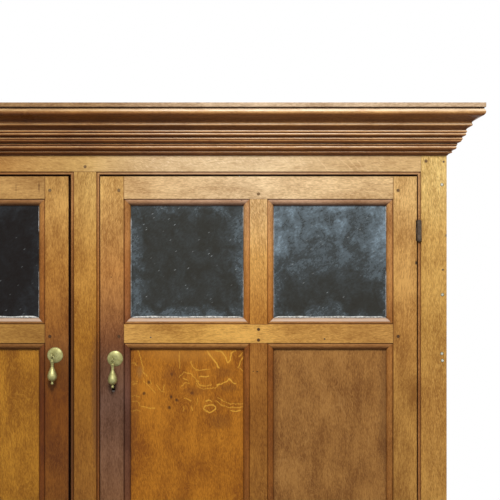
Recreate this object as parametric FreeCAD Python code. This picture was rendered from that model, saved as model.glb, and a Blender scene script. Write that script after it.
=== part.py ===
# Oak larder cabinet: a pegged face frame with four framed doors under a moulded cornice.
# Millimetres. +Z is up, +X is to the right of someone facing the doors, and the doors face -Y.
# The origin is on the floor under the middle of the cabinet.

import FreeCAD
import Part
import math
import os

Vector = FreeCAD.Vector
X_AXIS = Vector(1, 0, 0)
Y_AXIS = Vector(0, 1, 0)
Z_AXIS = Vector(0, 0, 1)

# The case
CASE_WIDTH = 1374.0
CASE_DEPTH = 500.0
TOTAL_HEIGHT = 1830.0
SIDE_THICKNESS = 22.0
SIDE_PLANKS = 3
SIDE_ARCH_RISE = 70.0
SIDE_FOOT_LENGTH = 80.0
BACK_THICKNESS = 14.0
BACK_REBATE = 11.0
BACK_PLANKS = 7
BACK_PLANK_GAP = 1.0
BACK_FLOOR_CLEARANCE = 60.0
TOP_THICKNESS = 18.0
TOP_PLANKS = 3

# The face frame
FACE_THICKNESS = 24.0
STILE_WIDTH = 55.0
CENTRE_STILE_WIDTH = 55.0
FRIEZE_SHOWING = 37.0
UPPER_OPENING_HEIGHT = 808.0
WAIST_RAIL_WIDTH = 62.0
BOTTOM_RAIL_WIDTH = 70.0
FOOT_HEIGHT = 105.0
BEAD_RADIUS = 2.5
BEAD_QUIRK = 1.5

# The cornice, from the top down
CORNICE_PROJECTION = 62.5
CAP_HEIGHT = 8.0
CROWN_HEIGHT = 32.5
REEDING_HEIGHT = 30.1
BED_HEIGHT = 22.4
CAP_LAP = 30.0

# The doors and the gaps round them
HINGE_GAP = 1.8
RIGHT_LOCK_GAP = 1.3
LEFT_LOCK_GAP = 4.2
HEAD_GAP = 2.8
DOOR_BACK_CLEARANCE = 0.5
DOOR_STILE_WIDTH = 57.4
DOOR_MUNTIN_WIDTH = 58.0
DOOR_TOP_RAIL = 55.2
DOOR_MID_RAIL = 60.6
DOOR_BOTTOM_RAIL = 60.0
TOP_ROW_HEIGHT = 213.4
OVOLO_WIDTH = 10.7
OVOLO_DROP = 7.5
OVOLO_QUIRK = 2.0
OVOLO_FILLET = 1.2
GROOVE_DEPTH = 7.0
GROOVE_WIDTH = 7.0
PANEL_FLOAT = 1.0
PANEL_FIELD = 2.0
PANEL_BEVEL = 26.0
PANEL_MARGIN = 3.0
GLASS_THICKNESS = 3.0
GLASS_CLEARANCE = 1.0
GLAZING_BEAD_THICKNESS = 7.5

# Mortise and tenon joints and their pegs
TENON_THICKNESS = 8.0
TENON_LENGTH = 36.0
MUNTIN_TENON_LENGTH = 15.0
TENON_SHOULDER = 4.0
MORTISE_RELIEF = 1.0
PEG_RADIUS = 2.8
PEG_SETBACK = 9.3
PEG_DROP = 5.0
MID_RAIL_PEG_SETBACK = 5.6
FRIEZE_PEG_HEIGHT = 20.0
PEG_CLEARANCE = 0.1
PEG_PROUD = 0.4

# Butt hinges, with the barrel in the line of the bead
HINGE_LENGTH = 38.0
HINGE_FROM_DOOR_END = 103.0
HINGE_INSET = 2.3
HINGE_PROUD = 1.5
BARREL_RADIUS = 4.7
BARREL_CLEARANCE = 0.4
HINGE_PIN_RADIUS = 2.0
HINGE_PIN_CLEARANCE = 0.06
HINGE_PIN_HEAD = 1.3
LEAF_THICKNESS = 1.7
LEAF_WIDTH = 19.0
LEAF_CLEARANCE = 0.4
KNUCKLE_GAP = 0.3

# Drop pulls
PULL_FROM_CENTRE = 54.0
ROSE_SLIP = 3.0
UPPER_PULL_FROM_HEAD = 346.0
LOWER_PULL_FROM_HEAD = 150.0
LEFT_PULL_RAISE = 6.5
ROSE_RADIUS = 15.0
ROSE_RIM = 1.2
ROSE_RISE = 2.6
ROSE_HOLE_RADIUS = 4.2
PULL_REACH = 15.0
LOOP_RADIUS = 4.3
LOOP_WIRE = 1.2
RING_RADIUS = 3.0
RING_WIRE = 1.3
SNIPE_RADIUS = 1.7
SNIPE_CLEARANCE = 0.1
SNIPE_CLINCH = 11.0
HEAD_RADIUS = 3.7
NECK_RADIUS = 2.3
NECK_LENGTH = 10.0
COLLAR_RADIUS = 2.9
COLLAR_HEIGHT = 1.6
PEAR_RADIUS = 9.0
PEAR_LENGTH = 28.0
PEAR_FOOT_RADIUS = 4.4
FINIAL_RADIUS = 2.8
FINIAL_NECK_RADIUS = 1.9
FINIAL_LENGTH = 7.0

# Locks on the right doors and turn buttons on the left doors
KEYHOLE_BELOW_PULL = 48.7
KEYHOLE_RADIUS = 4.0
KEYHOLE_SLOT_WIDTH = 6.4
KEYHOLE_SLOT_LENGTH = 11.8
KEY_ROOM = 0.6
LOCK_WIDTH = 40.0
LOCK_HEIGHT = 52.0
LOCK_DEPTH = 11.0
LOCK_WALL = 2.0
BOLT_LENGTH = 34.0
BOLT_HEIGHT = 13.0
BOLT_THROW = 9.0
BOLT_CLEARANCE = 0.3
BUTTON_LENGTH = 72.0
BUTTON_WIDTH = 20.0
BUTTON_THICKNESS = 11.0
BUTTON_DOWEL_RADIUS = 4.0
BUTTON_DOWEL_LENGTH = 14.0
BUTTON_CLEARANCE = 0.3

# Shelves, floors and what carries them
SHELF_THICKNESS = 18.0
SHELF_SETBACK = 24.0
SHELF_END_CLEARANCE = 1.0
UPPER_SHELF_RISES = (260.0, 518.0)
LOWER_SHELF_RISE = 327.0
FLOOR_DROP = 2.0
BEARER_HEIGHT = 26.0
BEARER_WIDTH = 18.0
STOP_LENGTH = 44.0
STOP_THICKNESS = 14.0
STOP_HEIGHT = 32.0
STOP_LAP = 11.0

# Places worked out from the sizes above
FRONT = (CORNICE_PROJECTION - CASE_DEPTH) / 2
FACE_BACK = FRONT + FACE_THICKNESS
BACK = FRONT + CASE_DEPTH
HALF_WIDTH = CASE_WIDTH / 2
CAP_UNDERSIDE = TOTAL_HEIGHT - CAP_HEIGHT
CROWN_UNDERSIDE = CAP_UNDERSIDE - CROWN_HEIGHT
REEDING_UNDERSIDE = CROWN_UNDERSIDE - REEDING_HEIGHT
BED_UNDERSIDE = REEDING_UNDERSIDE - BED_HEIGHT
CASE_TOP = CAP_UNDERSIDE - TOP_THICKNESS
UPPER_OPENING_TOP = BED_UNDERSIDE - FRIEZE_SHOWING
UPPER_OPENING_FOOT = UPPER_OPENING_TOP - UPPER_OPENING_HEIGHT
LOWER_OPENING_TOP = UPPER_OPENING_FOOT - WAIST_RAIL_WIDTH
LOWER_OPENING_FOOT = FOOT_HEIGHT + BOTTOM_RAIL_WIDTH
OPENING_INNER = CENTRE_STILE_WIDTH / 2
OPENING_OUTER = HALF_WIDTH - STILE_WIDTH
BEAD_STRIP = 2 * BEAD_RADIUS + BEAD_QUIRK
OVOLO_STRIP = OVOLO_WIDTH + OVOLO_QUIRK
OVOLO_DEPTH = OVOLO_FILLET + OVOLO_DROP
DOOR_THICKNESS = FACE_THICKNESS - DOOR_BACK_CLEARANCE
DOOR_BACK = FRONT + DOOR_THICKNESS
BOARD_BACK = BACK - BACK_THICKNESS
INNER_HALF_WIDTH = HALF_WIDTH - SIDE_THICKNESS
CUTTER_MARGIN = 1.0
QUARTER_SAGITTA = 0.207


# Small building blocks
def box(x0, x1, y0, y1, z0, z1):
    """A box from its two ends on each axis, given in either order."""
    low = Vector(min(x0, x1), min(y0, y1), min(z0, z1))
    return Part.makeBox(abs(x1 - x0), abs(y1 - y0), abs(z1 - z0), low)


def rod(radius, start, end):
    """A round rod between two points."""
    return Part.makeCylinder(radius, (end - start).Length, start, end - start)


def without_repeats(points):
    """The same closed outline with points that fall on their neighbour left out."""
    kept = []
    for point in points:
        if not kept or (point - kept[-1]).Length > 1e-6:
            kept.append(point)
    if (kept[0] - kept[-1]).Length < 1e-6:
        kept.pop()
    return kept


def face_of(points):
    """A flat face inside a closed outline of straight edges."""
    ring = without_repeats(points)
    return Part.Face(Part.makePolygon(ring + ring[:1]))


def board(outline, y0, y1):
    """A board whose front outline is given as (x, z) pairs."""
    return face_of([Vector(x, y0, z) for x, z in outline]).extrude(Vector(0, y1 - y0, 0))


def plan_prism(outline, z0, z1):
    """A prism over a plan given as (x, y) pairs."""
    return face_of([Vector(x, y, z0) for x, y in outline]).extrude(Vector(0, 0, z1 - z0))


def bulge(start, end, sagitta):
    """The middle of an arc from start to end that stands sagitta to the left of its chord."""
    along = (end[0] - start[0], end[1] - start[1])
    length = math.hypot(*along)
    middle = ((start[0] + end[0]) / 2, (start[1] + end[1]) / 2)
    return (middle[0] - along[1] / length * sagitta, middle[1] + along[0] / length * sagitta)


def profile_wire(start, steps, place):
    """A closed wire from (u, v) steps, where place turns a (u, v) pair into a point in space.

    A step is a point for a straight edge, a point and a sagitta for an arc, or a list of points for a curve.
    """
    edges = []
    here = start
    for step in list(steps) + [start]:
        if isinstance(step, list):
            curve = Part.BSplineCurve()
            curve.interpolate([place(point) for point in [here] + step])
            edges.append(curve.toShape())
            here = step[-1]
            continue
        bent = isinstance(step[0], tuple)
        target = step[0] if bent else step
        if bent:
            middle = bulge(here, target, step[1])
            edges.append(Part.Arc(place(here), place(middle), place(target)).toShape())
        elif math.dist(here, target) > 1e-6:
            edges.append(Part.LineSegment(place(here), place(target)).toShape())
        here = target
    return Part.Wire(edges)


def moulding_ring(start, steps, sight):
    """A tool that runs a moulding round a sight opening, mitred at the corners.

    u is the distance from the sight edge into the wood and v the depth behind the face.
    """
    x0, x1, z0, z1 = sight
    middle = (x0 + x1) / 2
    corners = [(middle, z0), (x1, z0), (x1, z1), (x0, z1), (x0, z0), (middle, z0)]
    path = Part.makePolygon([Vector(x, FRONT, z) for x, z in corners])
    section = profile_wire(start, steps, lambda p: Vector(middle, FRONT + p[1], z0 - p[0]))
    right_corners = 1
    return path.makePipeShell([section], True, False, right_corners)


def bead_ring(sight):
    """A bead and quirk round a door opening in the face frame."""
    across = 2 * BEAD_RADIUS
    steps = [
        (BEAD_STRIP, -CUTTER_MARGIN),
        (BEAD_STRIP, 0),
        ((BEAD_STRIP + across) / 2, BEAD_RADIUS),
        (across, BEAD_RADIUS),
        ((0, BEAD_RADIUS), BEAD_RADIUS),
        (-CUTTER_MARGIN, BEAD_RADIUS),
    ]
    return moulding_ring((-CUTTER_MARGIN, -CUTTER_MARGIN), steps, sight)


def ovolo_ring(sight):
    """A quirked ovolo round a pane or a panel of a door."""
    sagitta = QUARTER_SAGITTA * math.hypot(OVOLO_WIDTH, OVOLO_DROP)
    steps = [
        (OVOLO_STRIP, -CUTTER_MARGIN),
        (OVOLO_STRIP, 0),
        (OVOLO_WIDTH + OVOLO_QUIRK / 2, 2 * OVOLO_FILLET),
        (OVOLO_WIDTH, OVOLO_FILLET),
        ((0, OVOLO_DEPTH), sagitta),
        (-CUTTER_MARGIN, OVOLO_DEPTH),
    ]
    return moulding_ring((-CUTTER_MARGIN, -CUTTER_MARGIN), steps, sight)


# Pegged frames, for the face frame and for every door
def peg_hole(x, z, thickness):
    """The hole for one peg, through a frame of that thickness."""
    radius = PEG_RADIUS + PEG_CLEARANCE
    return rod(radius, Vector(x, FRONT - CUTTER_MARGIN, z), Vector(x, FRONT + thickness + CUTTER_MARGIN, z))


def peg(x, z, thickness):
    """One oak peg, a little proud of the face."""
    return rod(PEG_RADIUS, Vector(x, FRONT - PEG_PROUD, z), Vector(x, FRONT + thickness, z))


class PeggedFrame:
    """Stiles, rails and muntins with mitred mouldings, mortises, tenons and peg holes.

    columns are the (left, right) and rows the (bottom, top) of the sight openings.
    outer is (left, right, bottom, top), and foot is where the lowest rail starts.
    """

    def __init__(self, columns, rows, outer, foot, strip, thickness):
        self.columns = columns
        self.rows = rows
        self.outer = outer
        self.strip = strip
        self.thickness = thickness
        self.shoulders = (columns[0][0] - strip, columns[-1][1] + strip)
        self.tenon_y = (FRONT + (thickness - TENON_THICKNESS) / 2, FRONT + (thickness + TENON_THICKNESS) / 2)
        lows = [foot] + [z1 + strip for _, z1 in rows]
        highs = [z0 - strip for z0, _ in rows] + [outer[3]]
        self.rail_spans = list(zip(lows, highs))

    def sights(self):
        return [(x0, x1, z0, z1) for z0, z1 in self.rows for x0, x1 in self.columns]

    def muntin_places(self):
        """The row and the (left, right) sight edges of every muntin."""
        gaps = [(a[1], b[0]) for a, b in zip(self.columns, self.columns[1:])]
        return [(row, gap) for row in self.rows for gap in gaps]

    def stile_outline(self, left):
        """A stile, with a mitred strip along each row of openings."""
        outside = self.outer[0] if left else self.outer[1]
        flat = self.shoulders[0] if left else self.shoulders[1]
        sight = self.columns[0][0] if left else self.columns[-1][1]
        outline = [(outside, self.outer[2]), (flat, self.outer[2])]
        for z0, z1 in self.rows:
            outline += [(flat, z0 - self.strip), (sight, z0), (sight, z1), (flat, z1 + self.strip)]
        return outline + [(flat, self.outer[3]), (outside, self.outer[3])]

    def rail_outline(self, index):
        """A rail from shoulder to shoulder, with a mitred strip towards each opening beside it."""
        low, high = self.rail_spans[index]
        strip = self.strip
        outline = [(self.shoulders[0], low)]
        if index > 0:
            for x0, x1 in self.columns:
                outline += [(x0 - strip, low), (x0, low - strip), (x1, low - strip), (x1 + strip, low)]
        outline += [(self.shoulders[1], low), (self.shoulders[1], high)]
        if index < len(self.rows):
            for x0, x1 in reversed(self.columns):
                outline += [(x1 + strip, high), (x1, high + strip), (x0, high + strip), (x0 - strip, high)]
        return outline + [(self.shoulders[0], high)]

    def muntin_outline(self, row, gap):
        """The upright between two openings of a row."""
        left, right = gap
        z0, z1 = row
        strip = self.strip
        foot = [(left, z0), (left + strip, z0 - strip), (right - strip, z0 - strip), (right, z0)]
        head = [(right, z1), (right - strip, z1 + strip), (left + strip, z1 + strip), (left, z1)]
        return foot + head

    def rail_tenons(self, span, relief):
        ends = (span[0] + TENON_SHOULDER, span[1] - TENON_SHOULDER)
        left, right = self.shoulders
        reach = TENON_LENGTH + relief
        return [box(left - reach, left, *self.tenon_y, *ends), box(right, right + reach, *self.tenon_y, *ends)]

    def muntin_tenons(self, row, gap, relief):
        ends = (gap[0] + self.strip + TENON_SHOULDER, gap[1] - self.strip - TENON_SHOULDER)
        low = row[0] - self.strip
        high = row[1] + self.strip
        reach = MUNTIN_TENON_LENGTH + relief
        return [box(*ends, *self.tenon_y, low - reach, low), box(*ends, *self.tenon_y, high, high + reach)]

    def peg_places(self, top_peg_height):
        """One peg through each tenon; the top rail's pegs can have a height of their own above its shoulder."""
        places = []
        for low, high in self.rail_spans:
            z = (low + high) / 2 - PEG_DROP
            if high == self.outer[3] and top_peg_height:
                z = low + top_peg_height
            places += [(self.shoulders[0] - PEG_SETBACK, z), (self.shoulders[1] + PEG_SETBACK, z)]
        for (z0, z1), (left, right) in self.muntin_places():
            x = (left + right) / 2
            head_setback = PEG_SETBACK if z1 == self.rows[-1][1] else MID_RAIL_PEG_SETBACK
            places += [(x, z0 - self.strip - PEG_SETBACK), (x, z1 + self.strip + head_setback)]
        return places

    def build(self, ring, cutters, top_peg_height=None):
        """Makes stiles, rails, muntins and pegs. cutters are taken out of every member."""
        back = FRONT + self.thickness
        places = self.peg_places(top_peg_height)
        shaping = [ring(sight) for sight in self.sights()] + cutters
        shaping += [peg_hole(x, z, self.thickness) for x, z in places]
        stile_mortises = [tool for span in self.rail_spans for tool in self.rail_tenons(span, MORTISE_RELIEF)]
        rail_mortises = [tool for place in self.muntin_places() for tool in self.muntin_tenons(*place, MORTISE_RELIEF)]
        self.stiles = []
        for left in (True, False):
            blank = board(self.stile_outline(left), FRONT, back)
            self.stiles.append(blank.cut(shaping + stile_mortises).removeSplitter())
        self.rails = []
        for index, span in enumerate(self.rail_spans):
            blank = board(self.rail_outline(index), FRONT, back).fuse(self.rail_tenons(span, 0))
            self.rails.append(blank.cut(shaping + rail_mortises).removeSplitter())
        self.muntins = []
        for place in self.muntin_places():
            blank = board(self.muntin_outline(*place), FRONT, back).fuse(self.muntin_tenons(*place, 0))
            self.muntins.append(blank.cut(shaping).removeSplitter())
        self.pegs = [peg(x, z, self.thickness) for x, z in places]


# The cornice
def drawn(shares, top, height):
    """A moulding's section as steps for profile_wire.

    Each share is how far out in the cornice's projection, how far down in the moulding's own height, and the
    sagitta of the arc to that point, again as a part of the projection.
    """
    steps = []
    for out, down, sagitta in shares:
        point = (out * CORNICE_PROJECTION, top - down * height)
        steps.append((point, sagitta * CORNICE_PROJECTION) if sagitta else point)
    return steps


def cornice_lengths(start, steps):
    """The front and the two returns of one cornice member, mitred at the front corners."""
    reach = CORNICE_PROJECTION
    front_plan = [
        (-HALF_WIDTH - reach, FRONT - reach),
        (HALF_WIDTH + reach, FRONT - reach),
        (HALF_WIDTH - CAP_LAP, FRONT + CAP_LAP),
        (-HALF_WIDTH + CAP_LAP, FRONT + CAP_LAP),
    ]
    section = profile_wire(start, steps, lambda p: Vector(-HALF_WIDTH - reach, FRONT - p[0], p[1]))
    run = Part.Face(section).extrude(Vector(CASE_WIDTH + 2 * reach, 0, 0))
    lengths = [run.common(plan_prism(front_plan, 0, TOTAL_HEIGHT))]
    for side in (-1, 1):
        return_plan = [
            (side * (HALF_WIDTH + reach), FRONT - reach),
            (side * (HALF_WIDTH + reach), BACK),
            (side * (HALF_WIDTH - CAP_LAP), BACK),
            (side * (HALF_WIDTH - CAP_LAP), FRONT + CAP_LAP),
        ]
        section = profile_wire(start, steps, lambda p: Vector(side * (HALF_WIDTH + p[0]), FRONT - reach, p[1]))
        run = Part.Face(section).extrude(Vector(0, CASE_DEPTH + reach, 0))
        lengths.append(run.common(plan_prism(return_plan, 0, TOTAL_HEIGHT)))
    return lengths


def cornice_cap():
    """The flat strip on top, which also laps onto the top boards."""
    nose = CORNICE_PROJECTION
    outline = [(nose, CAP_UNDERSIDE), (nose, TOTAL_HEIGHT), (-CAP_LAP, TOTAL_HEIGHT)]
    return cornice_lengths((-CAP_LAP, CAP_UNDERSIDE), outline)


def cornice_crown():
    """A quirk under the cap, a round nose, a hollow that ends upright and an astragal."""
    shares = [
        (0.941, 0, 0),
        (0.941, 0.074, 0),
        (0.910, 0.488, 0.072),
        (0.690, 0.712, -0.020),
        (0.645, 0.865, -0.012),
        (0.655, 1, 0.014),
        (0, 1, 0),
    ]
    return cornice_lengths((0, CAP_UNDERSIDE), drawn(shares, CAP_UNDERSIDE, CROWN_HEIGHT))


def cornice_reeding():
    """A hollow, two reeds, a third reed that stands further in, and an ovolo."""
    shares = [
        (0.634, 0, 0),
        (0.496, 0.236, -0.016),
        (0.483, 0.422, 0.032),
        (0.458, 0.595, 0.030),
        (0.390, 0.681, -0.010),
        (0.387, 0.834, 0.026),
        (0.346, 0.960, 0.014),
        (0.307, 1, 0),
        (0, 1, 0),
    ]
    return cornice_lengths((0, CROWN_UNDERSIDE), drawn(shares, CROWN_UNDERSIDE, REEDING_HEIGHT))


def cornice_bed():
    """An astragal, a torus, a hollow and a bead, down to the frieze."""
    shares = [
        (0.253, 0, 0),
        (0.240, 0.255, 0.027),
        (0.210, 0.535, 0.030),
        (0.128, 0.675, -0.011),
        (0.112, 0.804, 0.024),
        (0.019, 1, -0.013),
        (0, 1, 0),
    ]
    return cornice_lengths((0, REEDING_UNDERSIDE), drawn(shares, REEDING_UNDERSIDE, BED_HEIGHT))


# The case behind the face frame
def side_boards(side):
    """Upright planks of one end, with an arch cut in the foot and a rebate for the back boards."""
    outer = side * HALF_WIDTH
    inner = side * INNER_HALF_WIDTH
    pitch = (BACK - FACE_BACK) / SIDE_PLANKS
    arch_start = (FACE_BACK + SIDE_FOOT_LENGTH, 0)
    arch_end = (BACK - SIDE_FOOT_LENGTH, 0)
    arch_wire = profile_wire(arch_start, [(arch_end, SIDE_ARCH_RISE)], lambda p: Vector(inner, p[0], p[1]))
    arch = Part.Face(arch_wire).extrude(Vector(outer - inner, 0, 0))
    rebate = box(inner, inner + side * BACK_REBATE, BOARD_BACK, BACK, BACK_FLOOR_CLEARANCE, CASE_TOP)
    planks = []
    for index in range(SIDE_PLANKS):
        start = FACE_BACK + index * pitch
        planks.append(box(outer, inner, start, start + pitch, 0, CASE_TOP).cut([arch, rebate]))
    return planks


def back_boards():
    """Upright planks that lie in the rebates of the two ends."""
    reach = INNER_HALF_WIDTH + BACK_REBATE
    pitch = 2 * reach / BACK_PLANKS
    planks = []
    for index in range(BACK_PLANKS):
        left = -reach + index * pitch
        right = left + pitch - (BACK_PLANK_GAP if index < BACK_PLANKS - 1 else 0)
        planks.append(box(left, right, BOARD_BACK, BACK, BACK_FLOOR_CLEARANCE, CASE_TOP))
    return planks


def top_boards():
    """Boards laid over the case, level with the top of the crown moulding."""
    pitch = CASE_DEPTH / TOP_PLANKS
    planks = []
    for index in range(TOP_PLANKS):
        start = FRONT + index * pitch
        planks.append(box(-HALF_WIDTH, HALF_WIDTH, start, start + pitch, CASE_TOP, CAP_UNDERSIDE))
    return planks


def shelf_at(top, front):
    """A shelf or floor board between the two ends, up to the back boards."""
    reach = INNER_HALF_WIDTH - SHELF_END_CLEARANCE
    return box(-reach, reach, front, BOARD_BACK, top - SHELF_THICKNESS, top)


def shelf_tops():
    upper_floor, lower_floor = floor_tops()
    return [upper_floor + rise for rise in UPPER_SHELF_RISES] + [lower_floor + LOWER_SHELF_RISE]


def floor_tops():
    return [UPPER_OPENING_FOOT - FLOOR_DROP, LOWER_OPENING_FOOT - FLOOR_DROP]


def bearers():
    """A batten on each end under every shelf and floor."""
    battens = []
    starts = [(top, FACE_BACK + SHELF_SETBACK) for top in shelf_tops()]
    starts += [(top, FACE_BACK) for top in floor_tops()]
    for top, start in starts:
        high = top - SHELF_THICKNESS
        for side in (-1, 1):
            wall = side * INNER_HALF_WIDTH
            battens.append(box(wall, wall - side * BEARER_WIDTH, start, BOARD_BACK, high - BEARER_HEIGHT, high))
    return battens


def door_stops():
    """Small blocks behind the head and the foot of every door, on the rails and on the floors."""
    middle = (OPENING_INNER + OPENING_OUTER) / 2
    stops = []
    for side in (-1, 1):
        ends = (side * middle - STOP_LENGTH / 2, side * middle + STOP_LENGTH / 2)
        for head in (UPPER_OPENING_TOP, LOWER_OPENING_TOP):
            low = head - STOP_LAP
            stops.append(box(*ends, FACE_BACK, FACE_BACK + STOP_THICKNESS, low, low + STOP_HEIGHT))
        for foot in floor_tops():
            high = foot + FLOOR_DROP + STOP_LAP
            stops.append(box(*ends, FACE_BACK, FACE_BACK + STOP_THICKNESS, foot, high))
    return stops


# Hinges
class ButtHinge:
    """An iron butt hinge: a fixed leaf with two knuckles, a door leaf with one, and their pin."""

    def __init__(self, side, z_middle):
        self.side = side
        self.x = side * (OPENING_OUTER + HINGE_INSET)
        self.y = FRONT - HINGE_PROUD
        self.low = z_middle - HINGE_LENGTH / 2
        self.high = z_middle + HINGE_LENGTH / 2
        self.stile_edge = side * OPENING_OUTER
        self.stile_far = self.stile_edge + side * LEAF_THICKNESS
        self.door_edge = side * (OPENING_OUTER - HINGE_GAP)
        self.door_far = self.door_edge - side * LEAF_THICKNESS

    def barrel(self, radius, low, high):
        return rod(radius, Vector(self.x, self.y, low), Vector(self.x, self.y, high))

    def leaf(self, near, far, tongue_end, knuckles):
        """A plate let into an edge from near to far, with a tongue from far to tongue_end at each knuckle."""
        plate_front = self.y + BARREL_RADIUS + BARREL_CLEARANCE
        plate = box(far, near, plate_front, FRONT + LEAF_WIDTH, self.low, self.high)
        pieces = []
        for low, high in knuckles:
            pieces.append(self.barrel(BARREL_RADIUS, low, high))
            pieces.append(box(far, tongue_end, self.y, plate_front, low, high))
        bore = self.barrel(HINGE_PIN_RADIUS + HINGE_PIN_CLEARANCE, self.low - 1, self.high + 1)
        return plate.fuse(pieces).cut(bore).removeSplitter()

    def knuckle_spans(self):
        third = HINGE_LENGTH / 3
        half_gap = KNUCKLE_GAP / 2
        cuts = [self.low + third, self.low + 2 * third]
        fixed = [(self.low, cuts[0] - half_gap), (cuts[1] + half_gap, self.high)]
        return fixed, [(cuts[0] + half_gap, cuts[1] - half_gap)]

    def fixed_leaf(self):
        return self.leaf(self.stile_edge, self.stile_far, self.stile_edge, self.knuckle_spans()[0])

    def door_leaf(self):
        tongue_end = self.stile_edge - self.side * LEAF_CLEARANCE
        return self.leaf(self.door_edge, self.door_far, tongue_end, self.knuckle_spans()[1])

    def pin(self):
        """The pin, with a small button head at each end."""
        heads = [
            self.barrel(BARREL_RADIUS * 0.75, self.low - HINGE_PIN_HEAD, self.low),
            self.barrel(BARREL_RADIUS * 0.75, self.high, self.high + HINGE_PIN_HEAD),
        ]
        return self.barrel(HINGE_PIN_RADIUS, self.low, self.high).fuse(heads).removeSplitter()

    def recesses(self):
        """What is cut from the door's edge and from the stile for the two leaves and the barrel."""
        ends = (FRONT - CUTTER_MARGIN, FRONT + LEAF_WIDTH, self.low, self.high)
        barrel_room = HINGE_PIN_HEAD + BARREL_CLEARANCE
        barrel = self.barrel(BARREL_RADIUS + BARREL_CLEARANCE, self.low - barrel_room, self.high + barrel_room)
        return [box(self.door_far, self.stile_far, *ends), barrel]


# Drop pulls
class DropPull:
    """A domed rose, a wire loop clinched through the stile, and a pear drop linked to the loop."""

    def __init__(self, x, z):
        self.x = x
        self.z = z
        self.pivot = Vector(x, FRONT - PULL_REACH, z)

    def rose(self):
        """The rose, turned about its own axis, with a hole for the boss of the loop."""
        centre = self.x + ROSE_SLIP
        steps = [
            (ROSE_RADIUS, 0),
            (ROSE_RADIUS - ROSE_RIM, ROSE_RIM),
            ((ROSE_HOLE_RADIUS, ROSE_RISE), -ROSE_RIM / 2),
        ]
        section = profile_wire((ROSE_HOLE_RADIUS, 0), steps, lambda p: Vector(centre + p[0], FRONT - p[1], self.z))
        return Part.Face(section).revolve(Vector(centre, FRONT, self.z), Y_AXIS, 360)

    def hole(self):
        radius = SNIPE_RADIUS + SNIPE_CLEARANCE
        return rod(radius, Vector(self.x, FRONT - CUTTER_MARGIN, self.z), Vector(self.x, BACK, self.z))

    def snipe(self):
        """The loop, a boss in the rose's hole, a shank through the stile, and legs bent flat behind it."""
        loop = Part.makeTorus(LOOP_RADIUS, LOOP_WIRE, self.pivot, X_AXIS)
        legs_y = DOOR_BACK + LOOP_WIRE
        legs = [Vector(self.x, legs_y, self.z + way * SNIPE_CLINCH) for way in (-1, 1)]
        shank_start = Vector(self.x, self.pivot.y + LOOP_RADIUS, self.z)
        boss = Vector(self.x + ROSE_SLIP, FRONT, self.z)
        pieces = [
            rod(SNIPE_RADIUS, shank_start, Vector(self.x, legs_y, self.z)),
            rod(ROSE_HOLE_RADIUS - SNIPE_CLEARANCE, boss, boss - Y_AXIS * ROSE_RISE),
            rod(LOOP_WIRE, *legs),
        ]
        return loop.fuse(pieces).removeSplitter()

    def drop(self):
        """A ring in the loop, then a neck, a collar, a pear and a finial."""
        centre = self.pivot - Z_AXIS * LOOP_RADIUS
        ring = Part.makeTorus(RING_RADIUS, RING_WIRE, centre, Y_AXIS)
        head = -RING_RADIUS
        collar = head - NECK_LENGTH
        pear = collar - COLLAR_HEIGHT
        pear_foot = pear - PEAR_LENGTH
        waist = (PEAR_RADIUS + NECK_RADIUS) / 2
        curve = [
            (waist, pear - PEAR_LENGTH * 0.3),
            (PEAR_RADIUS, pear - PEAR_LENGTH * 0.62),
            (PEAR_RADIUS * 0.86, pear - PEAR_LENGTH * 0.86),
            (PEAR_FOOT_RADIUS, pear_foot),
        ]
        steps = [
            (HEAD_RADIUS * 0.8, head),
            (HEAD_RADIUS, head - RING_WIRE),
            ((NECK_RADIUS, collar), -0.6),
            ((NECK_RADIUS, pear), COLLAR_RADIUS - NECK_RADIUS),
            curve,
            (0, pear_foot),
        ]
        section = profile_wire((0, head), steps, lambda p: centre + Vector(p[0], 0, p[1]))
        body = Part.Face(section).revolve(centre, Z_AXIS, 360)
        finial = centre + Z_AXIS * (pear_foot - FINIAL_LENGTH + FINIAL_RADIUS)
        neck = rod(FINIAL_NECK_RADIUS, centre + Z_AXIS * (pear_foot + RING_WIRE), finial)
        return body.fuse([ring, neck, Part.makeSphere(FINIAL_RADIUS, finial)]).removeSplitter()


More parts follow.
